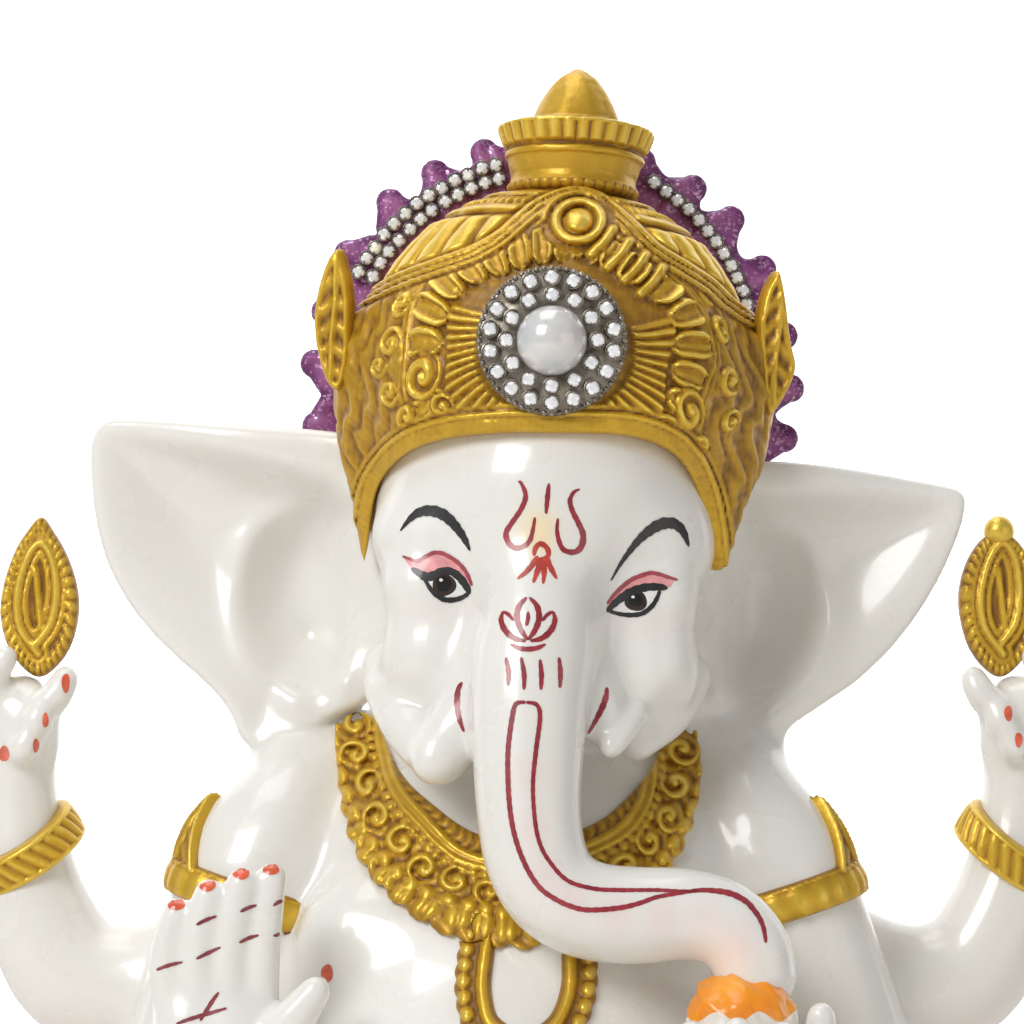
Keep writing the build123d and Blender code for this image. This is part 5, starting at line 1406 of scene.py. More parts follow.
def halo_point(deg, rx, rz):
    a = math.radians(deg)
    x, z = rx * math.cos(a), rz * math.sin(a)
    return HALO_C[0] + x * math.cos(TILT) + z * math.sin(TILT), HALO_C[1] - x * math.sin(TILT) + z * math.cos(TILT)


def build_halo():
    h = 0.36
    ang = [209, 195, 182, 168, 152, 138, 124, 110, 97, 84, 71, 59, 46, 31, 16, 2, -11, -24]
    x0, x1, z0, z1 = -38, 48, 158, 226
    gx, gz = np.meshgrid(np.arange(x0, x1, h), np.arange(z0, z1, h), indexing="ij")
    outer = [halo_point(210 - 235 * i / 40, 34.0, 34.0) for i in range(41)]
    inner = [halo_point(210 - 235 * i / 40, 23.0, 23.0) for i in range(41)]
    d = poly2d(outer + inner[::-1], gx, gz)
    for k, a in enumerate(ang):
        # each scallop is a rounded point
        b1, b2 = halo_point(a, 33.6, 33.6), halo_point(a + 1.2 * math.sin(k * 2.1), 35.7 + 0.3 * math.sin(k * 1.7), 35.7 + 0.3 * math.sin(k * 1.7))
        ex, ez = b2[0] - b1[0], b2[1] - b1[1]
        tt = np.clip(((gx - b1[0]) * ex + (gz - b1[1]) * ez) / (ex * ex + ez * ez), 0, 1)
        rr = np.hypot(gx - b1[0] - tt * ex, gz - b1[1] - tt * ez)
        d = smin(d, rr - (3.8 - 1.6 * tt), 0.9)
    # a glued gather makes each scallop crinkle
    rad = np.arctan2(gz - HALO_C[1], gx - HALO_C[0])
    puff = np.sqrt(np.clip(1 - ((4.2 + np.clip(d, -4.2, 0)) / 4.2) ** 2, 0, 1))
    ruff = 0.26 * np.sin(rad * 60 + 1.6 * np.sin(rad * 31)) * smooth(0, -1.4, d)
    lump = 0.25 * noise3(np.stack([gx.ravel(), 0 * gx.ravel(), gz.ravel()], 1), 1.1, 31).reshape(gx.shape)
    top = 0.35 + 1.1 * puff + ruff * 0.8 + lump * smooth(0, -1.0, d)
    g = Grid((x0, 4.6, z0), (x1, 11.4, z1), h)
    nx, ny, nz = g.F.shape
    X, Z = (np.arange(g.i0[0], g.i1[0]) * h), (np.arange(g.i0[2], g.i1[2]) * h)
    ix = np.clip(np.round((X - x0) / h).astype(int), 0, gx.shape[0] - 1)
    iz = np.clip(np.round((Z - z0) / h).astype(int), 0, gx.shape[1] - 1)
    D, T = d[np.ix_(ix, iz)], top[np.ix_(ix, iz)]
    y = g.axes()[1]
    mid = (HALO_Y0 + HALO_Y1) / 2
    th = np.clip(T, 0.15, 1.65)[:, None, :]
    g.F = smax(D[:, None, :] + 0 * y, np.abs(y - mid) - th, 0.6).astype(F32)
    vv, qq, nn = g.surface(1)
    t = T[np.clip(np.round(vv[:, 0] / h - g.i0[0]).astype(int), 0, nx - 1), np.clip(np.round(vv[:, 2] / h - g.i0[2]).astype(int), 0, nz - 1)]
    # painted shade and light: the puff height is stored so the glitter is painted dark low down and light on the puffs
    mesh_object("halo_scalloped_glitter_board", vv, qq, M_GLITTER, node="halo_frill", normals=nn, attrs={"relief_shade": np.clip((t - 0.4) / 1.2, 0, 1)})


def frame_of(nrm):
    nrm = np.array(nrm, float)
    nrm /= np.linalg.norm(nrm)
    e1 = np.cross([0, 0, 1], nrm)
    e1 /= np.linalg.norm(e1)
    return e1, np.cross(nrm, e1), nrm


def lathe_into(V, F, centre, nrm, prof, seg, turn=0.0, caps=True):
    """Adds a turned shape: prof is (height, radius) from the base up."""
    e1, e2, nn = frame_of(nrm)
    b = len(V)
    for hgt, r in prof:
        for k in range(seg):
            a = turn + 2 * math.pi * k / seg
            V.append(np.array(centre) + nn * hgt + r * (math.cos(a) * e1 + math.sin(a) * e2))
    for i in range(len(prof) - 1):
        for k in range(seg):
            a, c = b + i * seg + k, b + i * seg + (k + 1) % seg
            F.append((a, c, c + seg, a + seg))
    if caps:
        F.append(tuple(b + k for k in range(seg))[::-1])
        F.append(tuple(b + (len(prof) - 1) * seg + k for k in range(seg)))


def gem_into(V, F, centre, nrm, r, turn, high=0.62):
    """A chaton: table, eight crown facets, girdle."""
    e1, e2, nn = frame_of(nrm)
    c = np.array(centre)
    b = len(V)
    n = 8
    rings = [(0.0, r, 0.5), (high * 0.22, r, 0.5), (high * 0.66, r * 0.80, 0.0), (high, r * 0.50, 0.5)]
    for hgt, rr, ph in rings:
        for k in range(n):
            a = turn + 2 * math.pi * (k + ph) / n
            V.append(c + nn * hgt + rr * (math.cos(a) * e1 + math.sin(a) * e2))
    for k in range(n):
        j = (k + 1) % n
        F.append((b + k, b + j, b + n + j, b + n + k))
        F.append((b + n + k, b + n + j, b + 2 * n + j))
        F.append((b + n + k, b + 2 * n + j, b + 2 * n + k))
        F.append((b + 2 * n + k, b + 2 * n + j, b + 3 * n + k))
        F.append((b + 2 * n + j, b + 3 * n + j, b + 3 * n + k))
    F.append(tuple(b + 3 * n + k for k in range(n)))
    F.append(tuple(b + k for k in range(n))[::-1])


def cup_into(V, F, centre, nrm, r, depth, turn):
    """A cup setting with four bent prongs."""
    lathe_into(V, F, centre, nrm, [(0, r * 0.72), (0, r * 1.05), (depth * 0.5, r * 1.12), (depth * 0.95, r * 1.15), (depth * 1.02, r * 1.06), (depth * 0.7, r * 0.98), (depth * 0.55, r * 0.7)], 16)
    e1, e2, nn = frame_of(nrm)
    for k in range(4):
        a = turn + math.pi / 2 * k
        d = math.cos(a) * e1 + math.sin(a) * e2
        lathe_into(V, F, np.array(centre) + d * r * 1.0 + nn * depth * 0.8, nn * 0.9 - d * 0.55, [(0, r * 0.16), (depth * 0.42, r * 0.17), (depth * 0.62, r * 0.10)], 7)


def build_stones(tag, spots, nrm, r_stone, r_cup, base, depth, cup_node, stone_node, seed, wob=0.06):
    rng = np.random.RandomState(seed)
    CV, CF, SV, SF = [], [], [], []
    for x, z in spots:
        tilt = np.array(nrm, float) + np.array([rng.normal() * wob, 0, rng.normal() * wob])
        turn = rng.uniform(0, 6.28)
        c = np.array([x, base, z])
        cup_into(CV, CF, c, tilt, r_cup, depth, turn)
        gem_into(SV, SF, c + depth * 0.62 * tilt / np.linalg.norm(tilt), tilt, r_stone, turn + 0.4)
    mesh_object(tag + "_settings", CV, CF, M_SETTING, node=cup_node, smooth_shade=False)
    mesh_object(tag + "_rhinestones", SV, SF, M_CRYSTAL, node=stone_node, smooth_shade=False)


def build_brooch():
    bx, by, bz = 4.5, -39.0, 185.1
    spots = [(bx + 8.9 * math.cos(math.tau * (i + 0.5) / 18), bz + 8.9 * math.sin(math.tau * (i + 0.5) / 18)) for i in range(18)]
    spots += [(bx + 6.45 * math.cos(math.tau * i / 12), bz + 6.45 * math.sin(math.tau * i / 12)) for i in range(12)]
    build_stones("brooch", spots, (0, -1, 0), 1.02, 1.12, by + 0.05, 0.8, "brooch_cups", "brooch_stones", 5)
    V, F = [], []
    prof = [(0.0, 9.6), (0.1, 10.1), (0.8, 10.5), (2.6, 10.6), (3.4, 10.45), (3.75, 10.2), (3.85, 9.9), (3.7, 7.6), (3.85, 7.4), (3.7, 5.4), (3.6, 3.0), (3.6, 0.6)]
    lathe_into(V, F, (bx, by + 4.0, bz), (0, -1, 0), prof, 96)
    # a beaded wire round the rim
    for i in range(60):
        a = math.tau * i / 60
        lathe_into(V, F, (bx + 10.25 * math.cos(a), by + 0.35, bz + 10.25 * math.sin(a)), (0, -1, 0), [(-0.3, 0.2), (-0.1, 0.42), (0.15, 0.46), (0.36, 0.34), (0.46, 0.1)], 8)
    mesh_object("brooch_backing_disc", V, F, M_SETTING, node="brooch_disc")
    V, F = [], []
    prof = [(0.02, 4.7), (0.12, 5.0)] + [(5.0 * math.sin(t), 5.0 * math.cos(t)) for t in np.linspace(0.06, 1.52, 26)]
    lathe_into(V, F, (bx, by, bz), (0, -1, 0), prof, 72)
    mesh_object("brooch_half_pearl", V, F, M_PEARL, node="brooch_pearl")


def build_chain():
    spots = [halo_point(156 - 3.9 * i, 33.1, 33.1) for i in range(13)] + [halo_point(155 - 4.15 * i, 30.9, 30.9) for i in range(12)]
    spots += [halo_point(67 - 3.8 * i, 33.0 - 0.18 * i, 33.0 - 0.18 * i) for i in range(12)]
    build_stones("chain", spots, (0, -1, 0), 0.98, 1.02, 6.5, 0.9, "chain_cups", "chain_stones", 6, 0.12)


# ------------------------------------------------------------------ sweet, plinth, felt
def build_laddu():
    c = np.array([30.8, -43.0, 89.4])
    g = Grid(c - 12, c + 12, 0.4)
    g.add(ell(c, (8.1, 8.1, 7.9)))
    rng = np.random.RandomState(8)

    def grains(x, y, z):
        P = np.stack([x, y, z], 1)
        return 0.30 * noise3(P, 1.7, 41) + 0.22 * noise3(P, 3.4, 42)

    relief(g, lambda x, y, z: grains(x, y, z) - 0.25)
    g.F = soften(g.F, 1)
    vv, qq, nn = g.surface(1)
    low = smooth(91.4, 89.8, vv[:, 2] + 0.7 * np.sin(vv[:, 0] * 1.1))
    mesh_object("laddu_sweet", vv, qq, M_LADDU, node="laddu", normals=nn, attrs={"cream": low})


def build_plinth():
    """Oval lotus plinth: two rows of petals between plain bands, hollow underneath."""
    nu = 720
    th = np.arange(nu) / nu * 2 * np.pi
    prof = [(1.5, -3.4), (1.7, -0.6), (2.2, -0.1), (4.4, 0.0), (5.0, -0.5), (5.3, -1.6)]
    prof += [(5.3 + 0.30 * i, -1.9 - 0.004 * i * i) for i in range(1, 26)]
    prof += [(13.1, -4.8), (13.3, -4.0), (13.8, -3.4), (14.6, -3.3), (15.2, -3.8), (15.4, -4.8)]
    prof += [(15.4 + 0.26 * i, -4.9 + 0.0035 * i * i) for i in range(1, 26)]
    prof += [(22.1, -3.1), (22.4, -2.9), (23.2, -2.9), (23.8, -3.3), (24.0, -4.2), (24.0, -10.0), (24.0, -30.0)]
    prof = np.array(prof)
    Z = np.repeat(prof[:, 0][:, None], nu, 1)
    O = np.repeat(prof[:, 1][:, None], nu, 1)
    T = np.repeat(th[None], len(prof), 0)
    # equal petals along the oval's length
    fine = np.linspace(0, 2 * np.pi, 4001)
    sl = np.concatenate([[0], np.cumsum(np.hypot(np.diff(88 * np.cos(fine)), np.diff(62 * np.sin(fine))))])
    sl = np.interp(T, fine, sl) / sl[-1]
    n1 = 34
    k1 = (sl * n1) % 1 - 0.5
    k2 = (sl * n1 + 0.5) % 1 - 0.5
    pu = 13.8
    h = np.zeros_like(Z)
    lower = (Z > 5.3) & (Z < 13.0)
    t = np.clip((13.0 - Z) / 7.7, 0, 1)
    h = np.where(lower, petal(k1 * pu, t * 8.0, 6.4, 8.0) * 2.4, h)
    h = np.maximum(h, np.where(lower, petal(k2 * pu, t * 8.0, 6.0, 8.6) * 1.5, 0))
    upper = (Z > 15.4) & (Z < 21.9)
    t2 = np.clip((Z - 15.4) / 6.5, 0, 1)
    h = np.maximum(h, np.where(upper, petal(k1 * pu, t2 * 7.0, 6.2, 7.0) * 1.8, 0))
    h = np.maximum(h, np.where(upper, petal(k2 * pu, t2 * 7.0, 5.8, 7.4) * 1.1, 0))
    bead = ((sl * 150) % 1 - 0.5) * (470 / 150)
    h = np.maximum(h, 0.9 * np.sqrt(np.clip(1 - (bead**2 + (Z - 14.4) ** 2) / 1.0, 0, 1)))
    O2 = np.minimum(O + h, -0.02)
    RX, RY = 88 + O2, 62 + O2
    P = np.stack([RX * np.cos(T), RY * np.sin(T), Z], -1)
    verts = P.reshape(-1, 3)
    m = len(prof)
    i, j = np.meshgrid(np.arange(m - 1), np.arange(nu), indexing="ij")
    a, b = i * nu + j, i * nu + (j + 1) % nu
    quads = np.stack([a, b, b + nu, a + nu], -1).reshape(-1, 4)
    # underside: a short return and the wall of the hollow
    under = [(1.5, -8.0), (1.5, -13.0), (6.0, -13.0), (12.0, -13.2), (19.0, -13.4), (19.0, -40.0)]
    U = np.array([[(88 + o) * np.cos(th), (62 + o) * np.sin(th), 0 * th + z] for z, o in under]).transpose(0, 2, 1).reshape(-1, 3)
    base = len(verts)
    verts = np.vstack([verts, U, [[0, 0, 24.0], [0, 0, 19.0]]])
    faces = [tuple(f) for f in quads]
    for k in range(nu):
        kk = (k + 1) % nu
        faces.append((kk, k, base + k, base + kk))
        for r in range(len(under) - 1):
            faces.append((base + r * nu + kk, base + r * nu + k, base + (r + 1) * nu + k, base + (r + 1) * nu + kk))
        faces.append(((m - 1) * nu + k, (m - 1) * nu + kk, len(verts) - 2))
        faces.append((base + (len(under) - 1) * nu + kk, base + (len(under) - 1) * nu + k, len(verts) - 1))
    hem = np.zeros(len(verts))
    hz = Z.ravel()
    band = ((hz > 1.6) & (hz < 5.2)) | ((hz > 13.05) & (hz < 15.3)) | ((hz > 22.0) & (hz < 23.99))
    hem[: len(hz)] = np.where(band, 1.0, np.where(h.ravel() > 1.35, 0.0, 0.0))
    # painted shade and light: the petal height is stored so the gold is painted dark in hollows and bright on raised
    # petals
    relief_shade = np.full(len(verts), 0.6)
    relief_shade[: len(hz)] = np.clip(0.35 + h.ravel() / 2.0, 0, 1)
    mesh_object("lotus_plinth", verts, faces, M_PLINTH, node="plinth", attrs={"relief_shade": relief_shade, "hem": hem})


def build_ear_pins():
    """A short steel pin joins each ear to the head, out of sight once the ear is on."""
    for name, node, c, d in (("right_ear_steel_pin", "right_ear_pin", (-10.0, -3.4, 157.0), (-1, 0, 0)), ("left_ear_steel_pin", "left_ear_pin", (17.0, -3.4, 155.2), (1, 0, 0))):
        V, F = [], []
        lathe_into(V, F, c, (d[0], 0.0001, 0), [(0, 0.9), (0.4, 1.4), (8.2, 1.4), (8.6, 0.9)], 24)
        mesh_object(name, V, F, M_STEEL, node=node)


def build_felt():
    nu, rings = 360, 26
    V, F = [], []
    rng = np.random.RandomState(2)
    th = np.arange(nu) / nu * 2 * np.pi
    fr = 0.10 * rng.normal(size=nu)
    for side in (0, 1):
        for r in range(rings + 1):
            f = r / rings
            z = (0.02 + 0.05 * (1 - f)) if side else 1.48
            jitter = 0.03 * rng.normal(size=nu) * (0 < f < 1)
            e = (fr + (-0.25 if side else 0.0)) * (r == rings)
            for k in range(nu):
                V.append((((82.0 - 0.15) * f + e[k]) * math.cos(th[k]), ((56.0 - 0.15) * f + e[k]) * math.sin(th[k]), max(z + jitter[k], 0.0) if side else min(z + jitter[k], 1.5)))
    per = (rings + 1) * nu
    for side in (0, 1):
        for r in range(rings):
            for k in range(nu):
                a, b = side * per + r * nu + k, side * per + r * nu + (k + 1) % nu
                quad = (a, b, b + nu, a + nu)
                F.append(quad[::-1] if side else quad)
    for k in range(nu):
        a, b = rings * nu + k, rings * nu + (k + 1) % nu
        F.append((a, b, b + per, a + per)[::-1])
    mesh_object("felt_underpad", V, F, M_FELT, node="felt_pad")
STROKES = {
    "maroon": [
        ([(0.87, 134.28), (-0.54, 134.0), (-1.1, 132.03), (-1.66, 127.53), (-1.66, 123.03), (-1.38, 119.1), (-0.82, 115.88), (0.16, 112.79), (1.43, 110.13), (2.97, 108.03), (4.94, 106.63), (7.04, 105.65), (9.57, 105.09), (13.92, 105.37), (16.87, 106.07), (19.26, 106.91), (22.49, 107.47), (25.3, 107.89)], [0.35, 0.5, 0.55, 0.55, 0.55, 0.55, 0.55, 0.55, 0.55, 0.55, 0.55, 0.55, 0.55, 0.55, 0.5, 0.45, 0.4, 0.3]),
        ([(0.87, 134.28), (2.42, 133.86), (2.84, 132.03), (2.28, 127.53), (1.85, 123.03), (1.99, 119.1), (2.41, 115.88), (3.26, 113.35), (4.66, 111.25), (6.06, 109.71), (7.75, 108.73), (10.84, 108.03), (13.93, 107.89), (16.88, 107.89), (19.26, 107.89), (22.49, 107.75), (25.3, 107.75)], [0.35, 0.45, 0.5, 0.5, 0.45, 0.45, 0.45, 0.45, 0.45, 0.45, 0.45, 0.45, 0.45, 0.4, 0.4, 0.35, 0.3]),
        ([(23.9, 107.75), (25.87, 107.89), (27.83, 107.75), (29.38, 107.47), (30.78, 106.91), (32.04, 106.07), (32.88, 105.09), (33.58, 104.11), (34.14, 102.85), (34.41, 101.59), (34.55, 100.47)], [0.4, 0.5, 0.6, 0.65, 0.65, 0.62, 0.58, 0.55, 0.5, 0.42, 0.3]),
        ([(-0.25, 165.47), (0.17, 165.19), (0.74, 163.91), (0.73, 162.78), (0.03, 161.23), (-1.24, 159.39), (-1.95, 158.12), (-1.66, 156.84), (-0.68, 156.0), (0.59, 156.28), (1.44, 157.13), (1.86, 158.68), (2.15, 160.38)], [0.2, 0.35, 0.5, 0.55, 0.55, 0.55, 0.6, 0.6, 0.6, 0.55, 0.5, 0.4, 0.25]),
        ([(4.12, 165.19), (3.98, 163.91), (3.84, 162.5), (3.7, 160.8)], [0.25, 0.5, 0.5, 0.3]),
        ([(8.5, 164.34), (7.65, 163.91), (7.09, 162.78), (7.37, 161.37), (8.21, 159.67), (8.92, 157.97), (8.77, 156.42), (8.07, 155.57), (7.08, 155.43), (6.09, 155.85), (5.53, 156.99), (5.25, 158.54), (5.39, 160.24)], [0.2, 0.35, 0.5, 0.55, 0.6, 0.65, 0.7, 0.65, 0.6, 0.55, 0.5, 0.4, 0.25]),
        ([(1.15, 143.01), (0.17, 144.42), (-0.4, 146.11), (-0.11, 147.81), (1.01, 149.08)], [0.3, 0.6, 0.65, 0.6, 0.25]),
        ([(1.15, 143.01), (2.14, 144.42), (2.71, 146.11), (2.42, 147.81), (1.3, 149.08)], [0.3, 0.6, 0.65, 0.6, 0.25]),
        ([(0.87, 142.87), (-0.82, 143.29), (-2.09, 144.42), (-2.65, 145.83), (-2.37, 147.1)], [0.3, 0.6, 0.65, 0.55, 0.25]),
        ([(-2.37, 147.1), (-1.52, 146.54), (-0.82, 145.69)], [0.25, 0.4, 0.25]),
        ([(1.44, 142.87), (3.13, 143.29), (4.4, 144.42), (4.96, 145.83), (4.68, 147.1)], [0.3, 0.6, 0.65, 0.55, 0.25]),
        ([(4.68, 147.1), (3.83, 146.54), (3.13, 145.69)], [0.25, 0.4, 0.25]),
        ([(-1.38, 142.45), (-0.11, 141.89), (1.15, 141.74), (2.42, 141.89), (3.69, 142.45)], [0.25, 0.5, 0.55, 0.5, 0.25]),
        ([(0.87, 144.99), (1.15, 145.97), (1.16, 147.1)], [0.3, 0.45, 0.25]),
        ([(-1.95, 140.62), (-1.59, 138.57), (-1.66, 136.53)], [0.3, 0.55, 0.3]),
        ([(0.17, 140.62), (0.59, 138.29), (0.59, 135.97)], [0.3, 0.55, 0.3]),
        ([(2.84, 140.34), (3.05, 138.15), (2.98, 135.97)], [0.3, 0.55, 0.3]),
        ([(5.52, 140.62), (5.73, 138.43), (5.66, 136.25)], [0.3, 0.55, 0.3]),
        ([(-8.14, 137.1), (-8.7, 135.97), (-8.84, 134.14), (-8.56, 132.03), (-7.85, 130.06)], [0.3, 0.55, 0.65, 0.55, 0.25]),
        ([(12.28, 136.39), (12.13, 134.98), (11.57, 133.44), (10.72, 131.75), (9.6, 129.78)], [0.3, 0.6, 0.65, 0.5, 0.25]),
    ],
    "red": [
        ([(2.0, 154.87), (2.14, 155.85), (2.71, 156.56), (3.41, 156.42), (3.98, 155.71), (3.98, 154.87), (3.27, 154.44), (2.57, 154.44)], [0.4, 0.5, 0.55, 0.55, 0.55, 0.5, 0.45, 0.4]),
        ([(2.57, 154.87), (1.86, 153.74), (0.87, 152.61), (-0.39, 151.62)], [0.6, 0.6, 0.5, 0.2]),
        ([(2.99, 154.72), (2.71, 153.45), (2.28, 152.18), (1.86, 151.05)], [0.6, 0.65, 0.5, 0.2]),
        ([(3.27, 154.72), (3.41, 153.45), (3.41, 152.18), (3.27, 150.91)], [0.6, 0.65, 0.5, 0.2]),
        ([(3.7, 154.87), (4.12, 153.74), (4.68, 152.61), (5.25, 151.62)], [0.6, 0.6, 0.5, 0.2]),
    ],
    "black": [
        ([(-16.9, 158.4), (-15.77, 159.81), (-14.65, 160.8), (-13.52, 161.23), (-12.25, 161.23), (-10.98, 160.8), (-9.71, 159.81), (-8.44, 158.26), (-7.59, 156.84), (-7.02, 155.57)], [0.2, 0.7, 1.15, 1.45, 1.6, 1.6, 1.45, 1.15, 0.8, 0.25]),
        ([(12.86, 151.34), (14.13, 153.59), (15.54, 155.57), (16.82, 157.13), (18.09, 158.26), (19.36, 159.11), (20.63, 159.53), (21.9, 159.39), (22.89, 158.54), (23.45, 157.41), (23.87, 156.14)], [0.2, 0.5, 0.8, 1.1, 1.4, 1.6, 1.65, 1.5, 1.2, 0.8, 0.25]),
        ([(-15.34, 153.17), (-14.21, 152.47), (-13.09, 151.9), (-12.1, 152.18), (-10.83, 152.75), (-9.56, 152.61), (-8.43, 151.76), (-7.59, 150.63), (-7.02, 149.5)], [0.3, 0.55, 0.7, 0.65, 0.6, 0.6, 0.6, 0.55, 0.3]),
        ([(-13.51, 151.9), (-12.94, 150.77), (-12.1, 149.64), (-10.83, 148.8), (-9.56, 148.65), (-8.29, 148.94), (-7.16, 149.64)], [0.25, 0.3, 0.35, 0.4, 0.4, 0.35, 0.3]),
        ([(12.29, 146.96), (13.14, 147.95), (14.12, 148.8), (15.39, 149.64), (16.8, 150.21), (18.22, 150.49), (19.63, 150.49), (20.89, 150.35)], [0.3, 0.5, 0.6, 0.65, 0.65, 0.6, 0.55, 0.3]),
        ([(12.57, 147.1), (14.12, 146.68), (15.81, 146.54), (17.36, 146.82), (18.63, 147.81), (19.34, 148.94), (19.77, 150.07)], [0.25, 0.3, 0.35, 0.35, 0.35, 0.3, 0.25]),
    ],
    "rose": [
        ([(-16.61, 154.87), (-15.49, 154.44), (-14.5, 154.16), (-13.37, 154.72), (-12.24, 155.29), (-11.11, 155.29), (-10.13, 154.87), (-9.0, 154.16), (-7.87, 153.03), (-7.16, 151.76), (-6.74, 150.63)], [0.2, 0.3, 0.38, 0.42, 0.42, 0.42, 0.42, 0.42, 0.4, 0.35, 0.2]),
        ([(12.29, 148.09), (13.28, 149.36), (14.41, 150.49), (15.68, 151.48), (16.95, 152.04), (18.36, 152.47), (19.63, 152.32), (20.9, 151.9), (22.31, 151.48)], [0.2, 0.35, 0.42, 0.45, 0.45, 0.42, 0.4, 0.35, 0.2]),
    ],
    "palm": [
        ([(-51.05, 96.69), (-49.09, 97.39), (-47.26, 97.81)], [0.25, 0.42, 0.2]),
        ([(-45.44, 98.23), (-43.76, 99.07), (-41.94, 99.91)], [0.25, 0.42, 0.2]),
        ([(-39.42, 100.47), (-38.01, 101.17), (-36.61, 101.59)], [0.25, 0.42, 0.2]),
        ([(-34.65, 101.45), (-33.38, 101.73), (-32.12, 102.01)], [0.25, 0.42, 0.2]),
        ([(-34.66, 105.65), (-33.82, 106.21), (-32.84, 106.49)], [0.25, 0.42, 0.2]),
        ([(-39.29, 104.81), (-38.17, 105.37), (-36.91, 105.79)], [0.25, 0.42, 0.2]),
        ([(-45.46, 102.99), (-44.06, 103.69), (-42.52, 104.25)], [0.25, 0.42, 0.2]),
        ([(-48.21, 89.15), (-46.25, 89.85), (-43.45, 90.68), (-41.07, 91.38)], [0.25, 0.42, 0.42, 0.2]),
        ([(-44.85, 89.57), (-44.01, 90.96), (-43.03, 92.5), (-42.2, 93.62)], [0.25, 0.42, 0.42, 0.2]),
    ],
}
LENSES = {
    "lid": [
        ([(-16.47, 154.72), (-15.34, 154.3), (-14.36, 154.02), (-13.23, 154.58), (-12.1, 155.15), (-11.11, 155.15), (-10.13, 154.72), (-9.0, 154.02), (-7.87, 152.89), (-7.02, 151.48)], [(-15.34, 153.17), (-14.78, 152.75), (-13.93, 152.32), (-12.94, 152.04), (-11.96, 152.32), (-10.83, 152.89), (-9.7, 152.75), (-8.57, 151.9), (-7.73, 150.77), (-7.02, 149.64)]),
        ([(12.29, 147.81), (13.28, 149.08), (14.41, 150.21), (15.68, 151.19), (16.95, 151.76), (18.36, 152.18), (19.63, 152.04), (20.76, 151.62), (21.74, 151.34)], [(12.29, 147.1), (13.14, 147.95), (14.12, 148.8), (15.39, 149.64), (16.8, 150.21), (18.22, 150.49), (19.34, 150.49), (20.33, 150.49), (21.18, 150.49)]),
    ],
    "white": [
        ([(-13.37, 151.9), (-12.52, 152.04), (-11.68, 152.32), (-10.83, 152.61), (-9.84, 152.61), (-8.86, 151.9), (-8.01, 151.05), (-7.16, 149.78)], [(-13.37, 151.62), (-12.66, 150.49), (-11.96, 149.64), (-11.11, 149.08), (-10.12, 148.8), (-9.14, 148.8), (-8.15, 149.08), (-7.16, 149.5)]),
        ([(12.57, 147.24), (13.42, 148.09), (14.27, 148.8), (15.39, 149.5), (16.52, 150.07), (17.65, 150.35), (18.78, 150.35), (19.77, 150.21)], [(12.71, 146.96), (13.7, 146.82), (14.69, 146.68), (15.81, 146.68), (16.94, 146.82), (17.93, 147.24), (18.92, 148.23), (19.76, 149.92)]),
    ],
}
DOTS = {
    "iris": [((-10.69, 150.77), 1.28, 1.22), ((16.38, 148.51), 1.2, 1.1)],
    "pupil": [((-10.69, 150.91), 0.8, 0.8), ((16.38, 148.65), 0.75, 0.7)],
    "glint": [((-11.11, 151.48), 0.26, 0.22), ((15.96, 149.08), 0.24, 0.2)],
    "nail": [((-47.95, 105.99), 1.15, 0.85), ((-43.64, 108.63), 1.15, 0.85), ((-38.9, 110.3), 1.15, 0.85), ((-34.72, 110.86), 1.1, 0.8), ((-26.87, 96.4), 0.8, 1.15),
             ((-63.5, 136.8), 0.55, 1.3), ((-66.29, 131.6), 0.42, 1.0), ((-67.58, 128.04), 0.42, 0.95), ((-72.07, 126.92), 0.7, 1.05),
             ((65.2, 138.4), 0.45, 1.2), ((68.28, 132.58), 0.55, 1.05), ((69.7, 128.86), 0.5, 1.0), ((70.9, 126.4), 0.5, 0.85)],
}


# ------------------------------------------------------------------ painted lines and eyes
# Strokes are drawn on the plane y = -36 as seen from EYE and dropped onto the skin.
EYE = np.array([-1.1, -750.0, 115.0])
M_PAINT = {
    "maroon": mat_stroke("paint_maroon", (0.30, 0.022, 0.035)),
    "red": mat_stroke("paint_red", (0.50, 0.050, 0.035)),
    "black": mat_stroke("paint_black", (0.010, 0.009, 0.011), 0.4),
    "rose": mat_stroke("paint_rose", (0.36, 0.055, 0.075)),
    "palm": mat_stroke("paint_palm", (0.24, 0.030, 0.040)),
    "lid": mat_stroke("paint_lid_pink", (0.78, 0.33, 0.34), 0.34, 0.18),
    "white": mat_stroke("paint_eye_white", (0.80, 0.80, 0.80), 0.2, 0.05),
    "iris": mat_stroke("paint_iris", (0.035, 0.018, 0.012), 0.15),
    "pupil": mat_stroke("paint_pupil", (0.006, 0.006, 0.007), 0.1),
    "glint": mat_stroke("paint_glint", (0.86, 0.86, 0.86), 0.2, 0.04),
    "nail": mat_stroke("paint_nail", (0.72, 0.115, 0.050), 0.25),
}


def drop(x, z, plane=-36.0, off=0.06):
    """The skin point behind (x, z) on the drawing plane, lifted off a little."""
    t = np.array([x, plane, z])
    d = Vector(t - EYE).normalized()
    hit, nrm, _, _ = SKIN.ray_cast(Vector(EYE), d)
    if hit is None:
        return None
    return np.array(hit) - np.array(d) * off


def sheet_into(V, F, rows, plane, off):
    """A strip through rows of (x, z) points; rows that miss the skin are dropped."""
    prev = None
    for row in rows:
        pts = [drop(x, z, plane, off) for x, z in row]
        if any(p is None for p in pts):
            prev = None
            continue
        pts = np.array(pts)
        if np.abs(np.diff(pts[:, 1])).max() > 2.5 or (prev is not None and abs(pts[0, 1] - V[prev][1]) > 3.5):
            prev = None
            continue
        b = len(V)
        V.extend(pts)
        if prev is not None:
            for k in range(len(row) - 1):
                F.append((prev + k, prev + k + 1, b + k + 1, b + k))
        prev = b


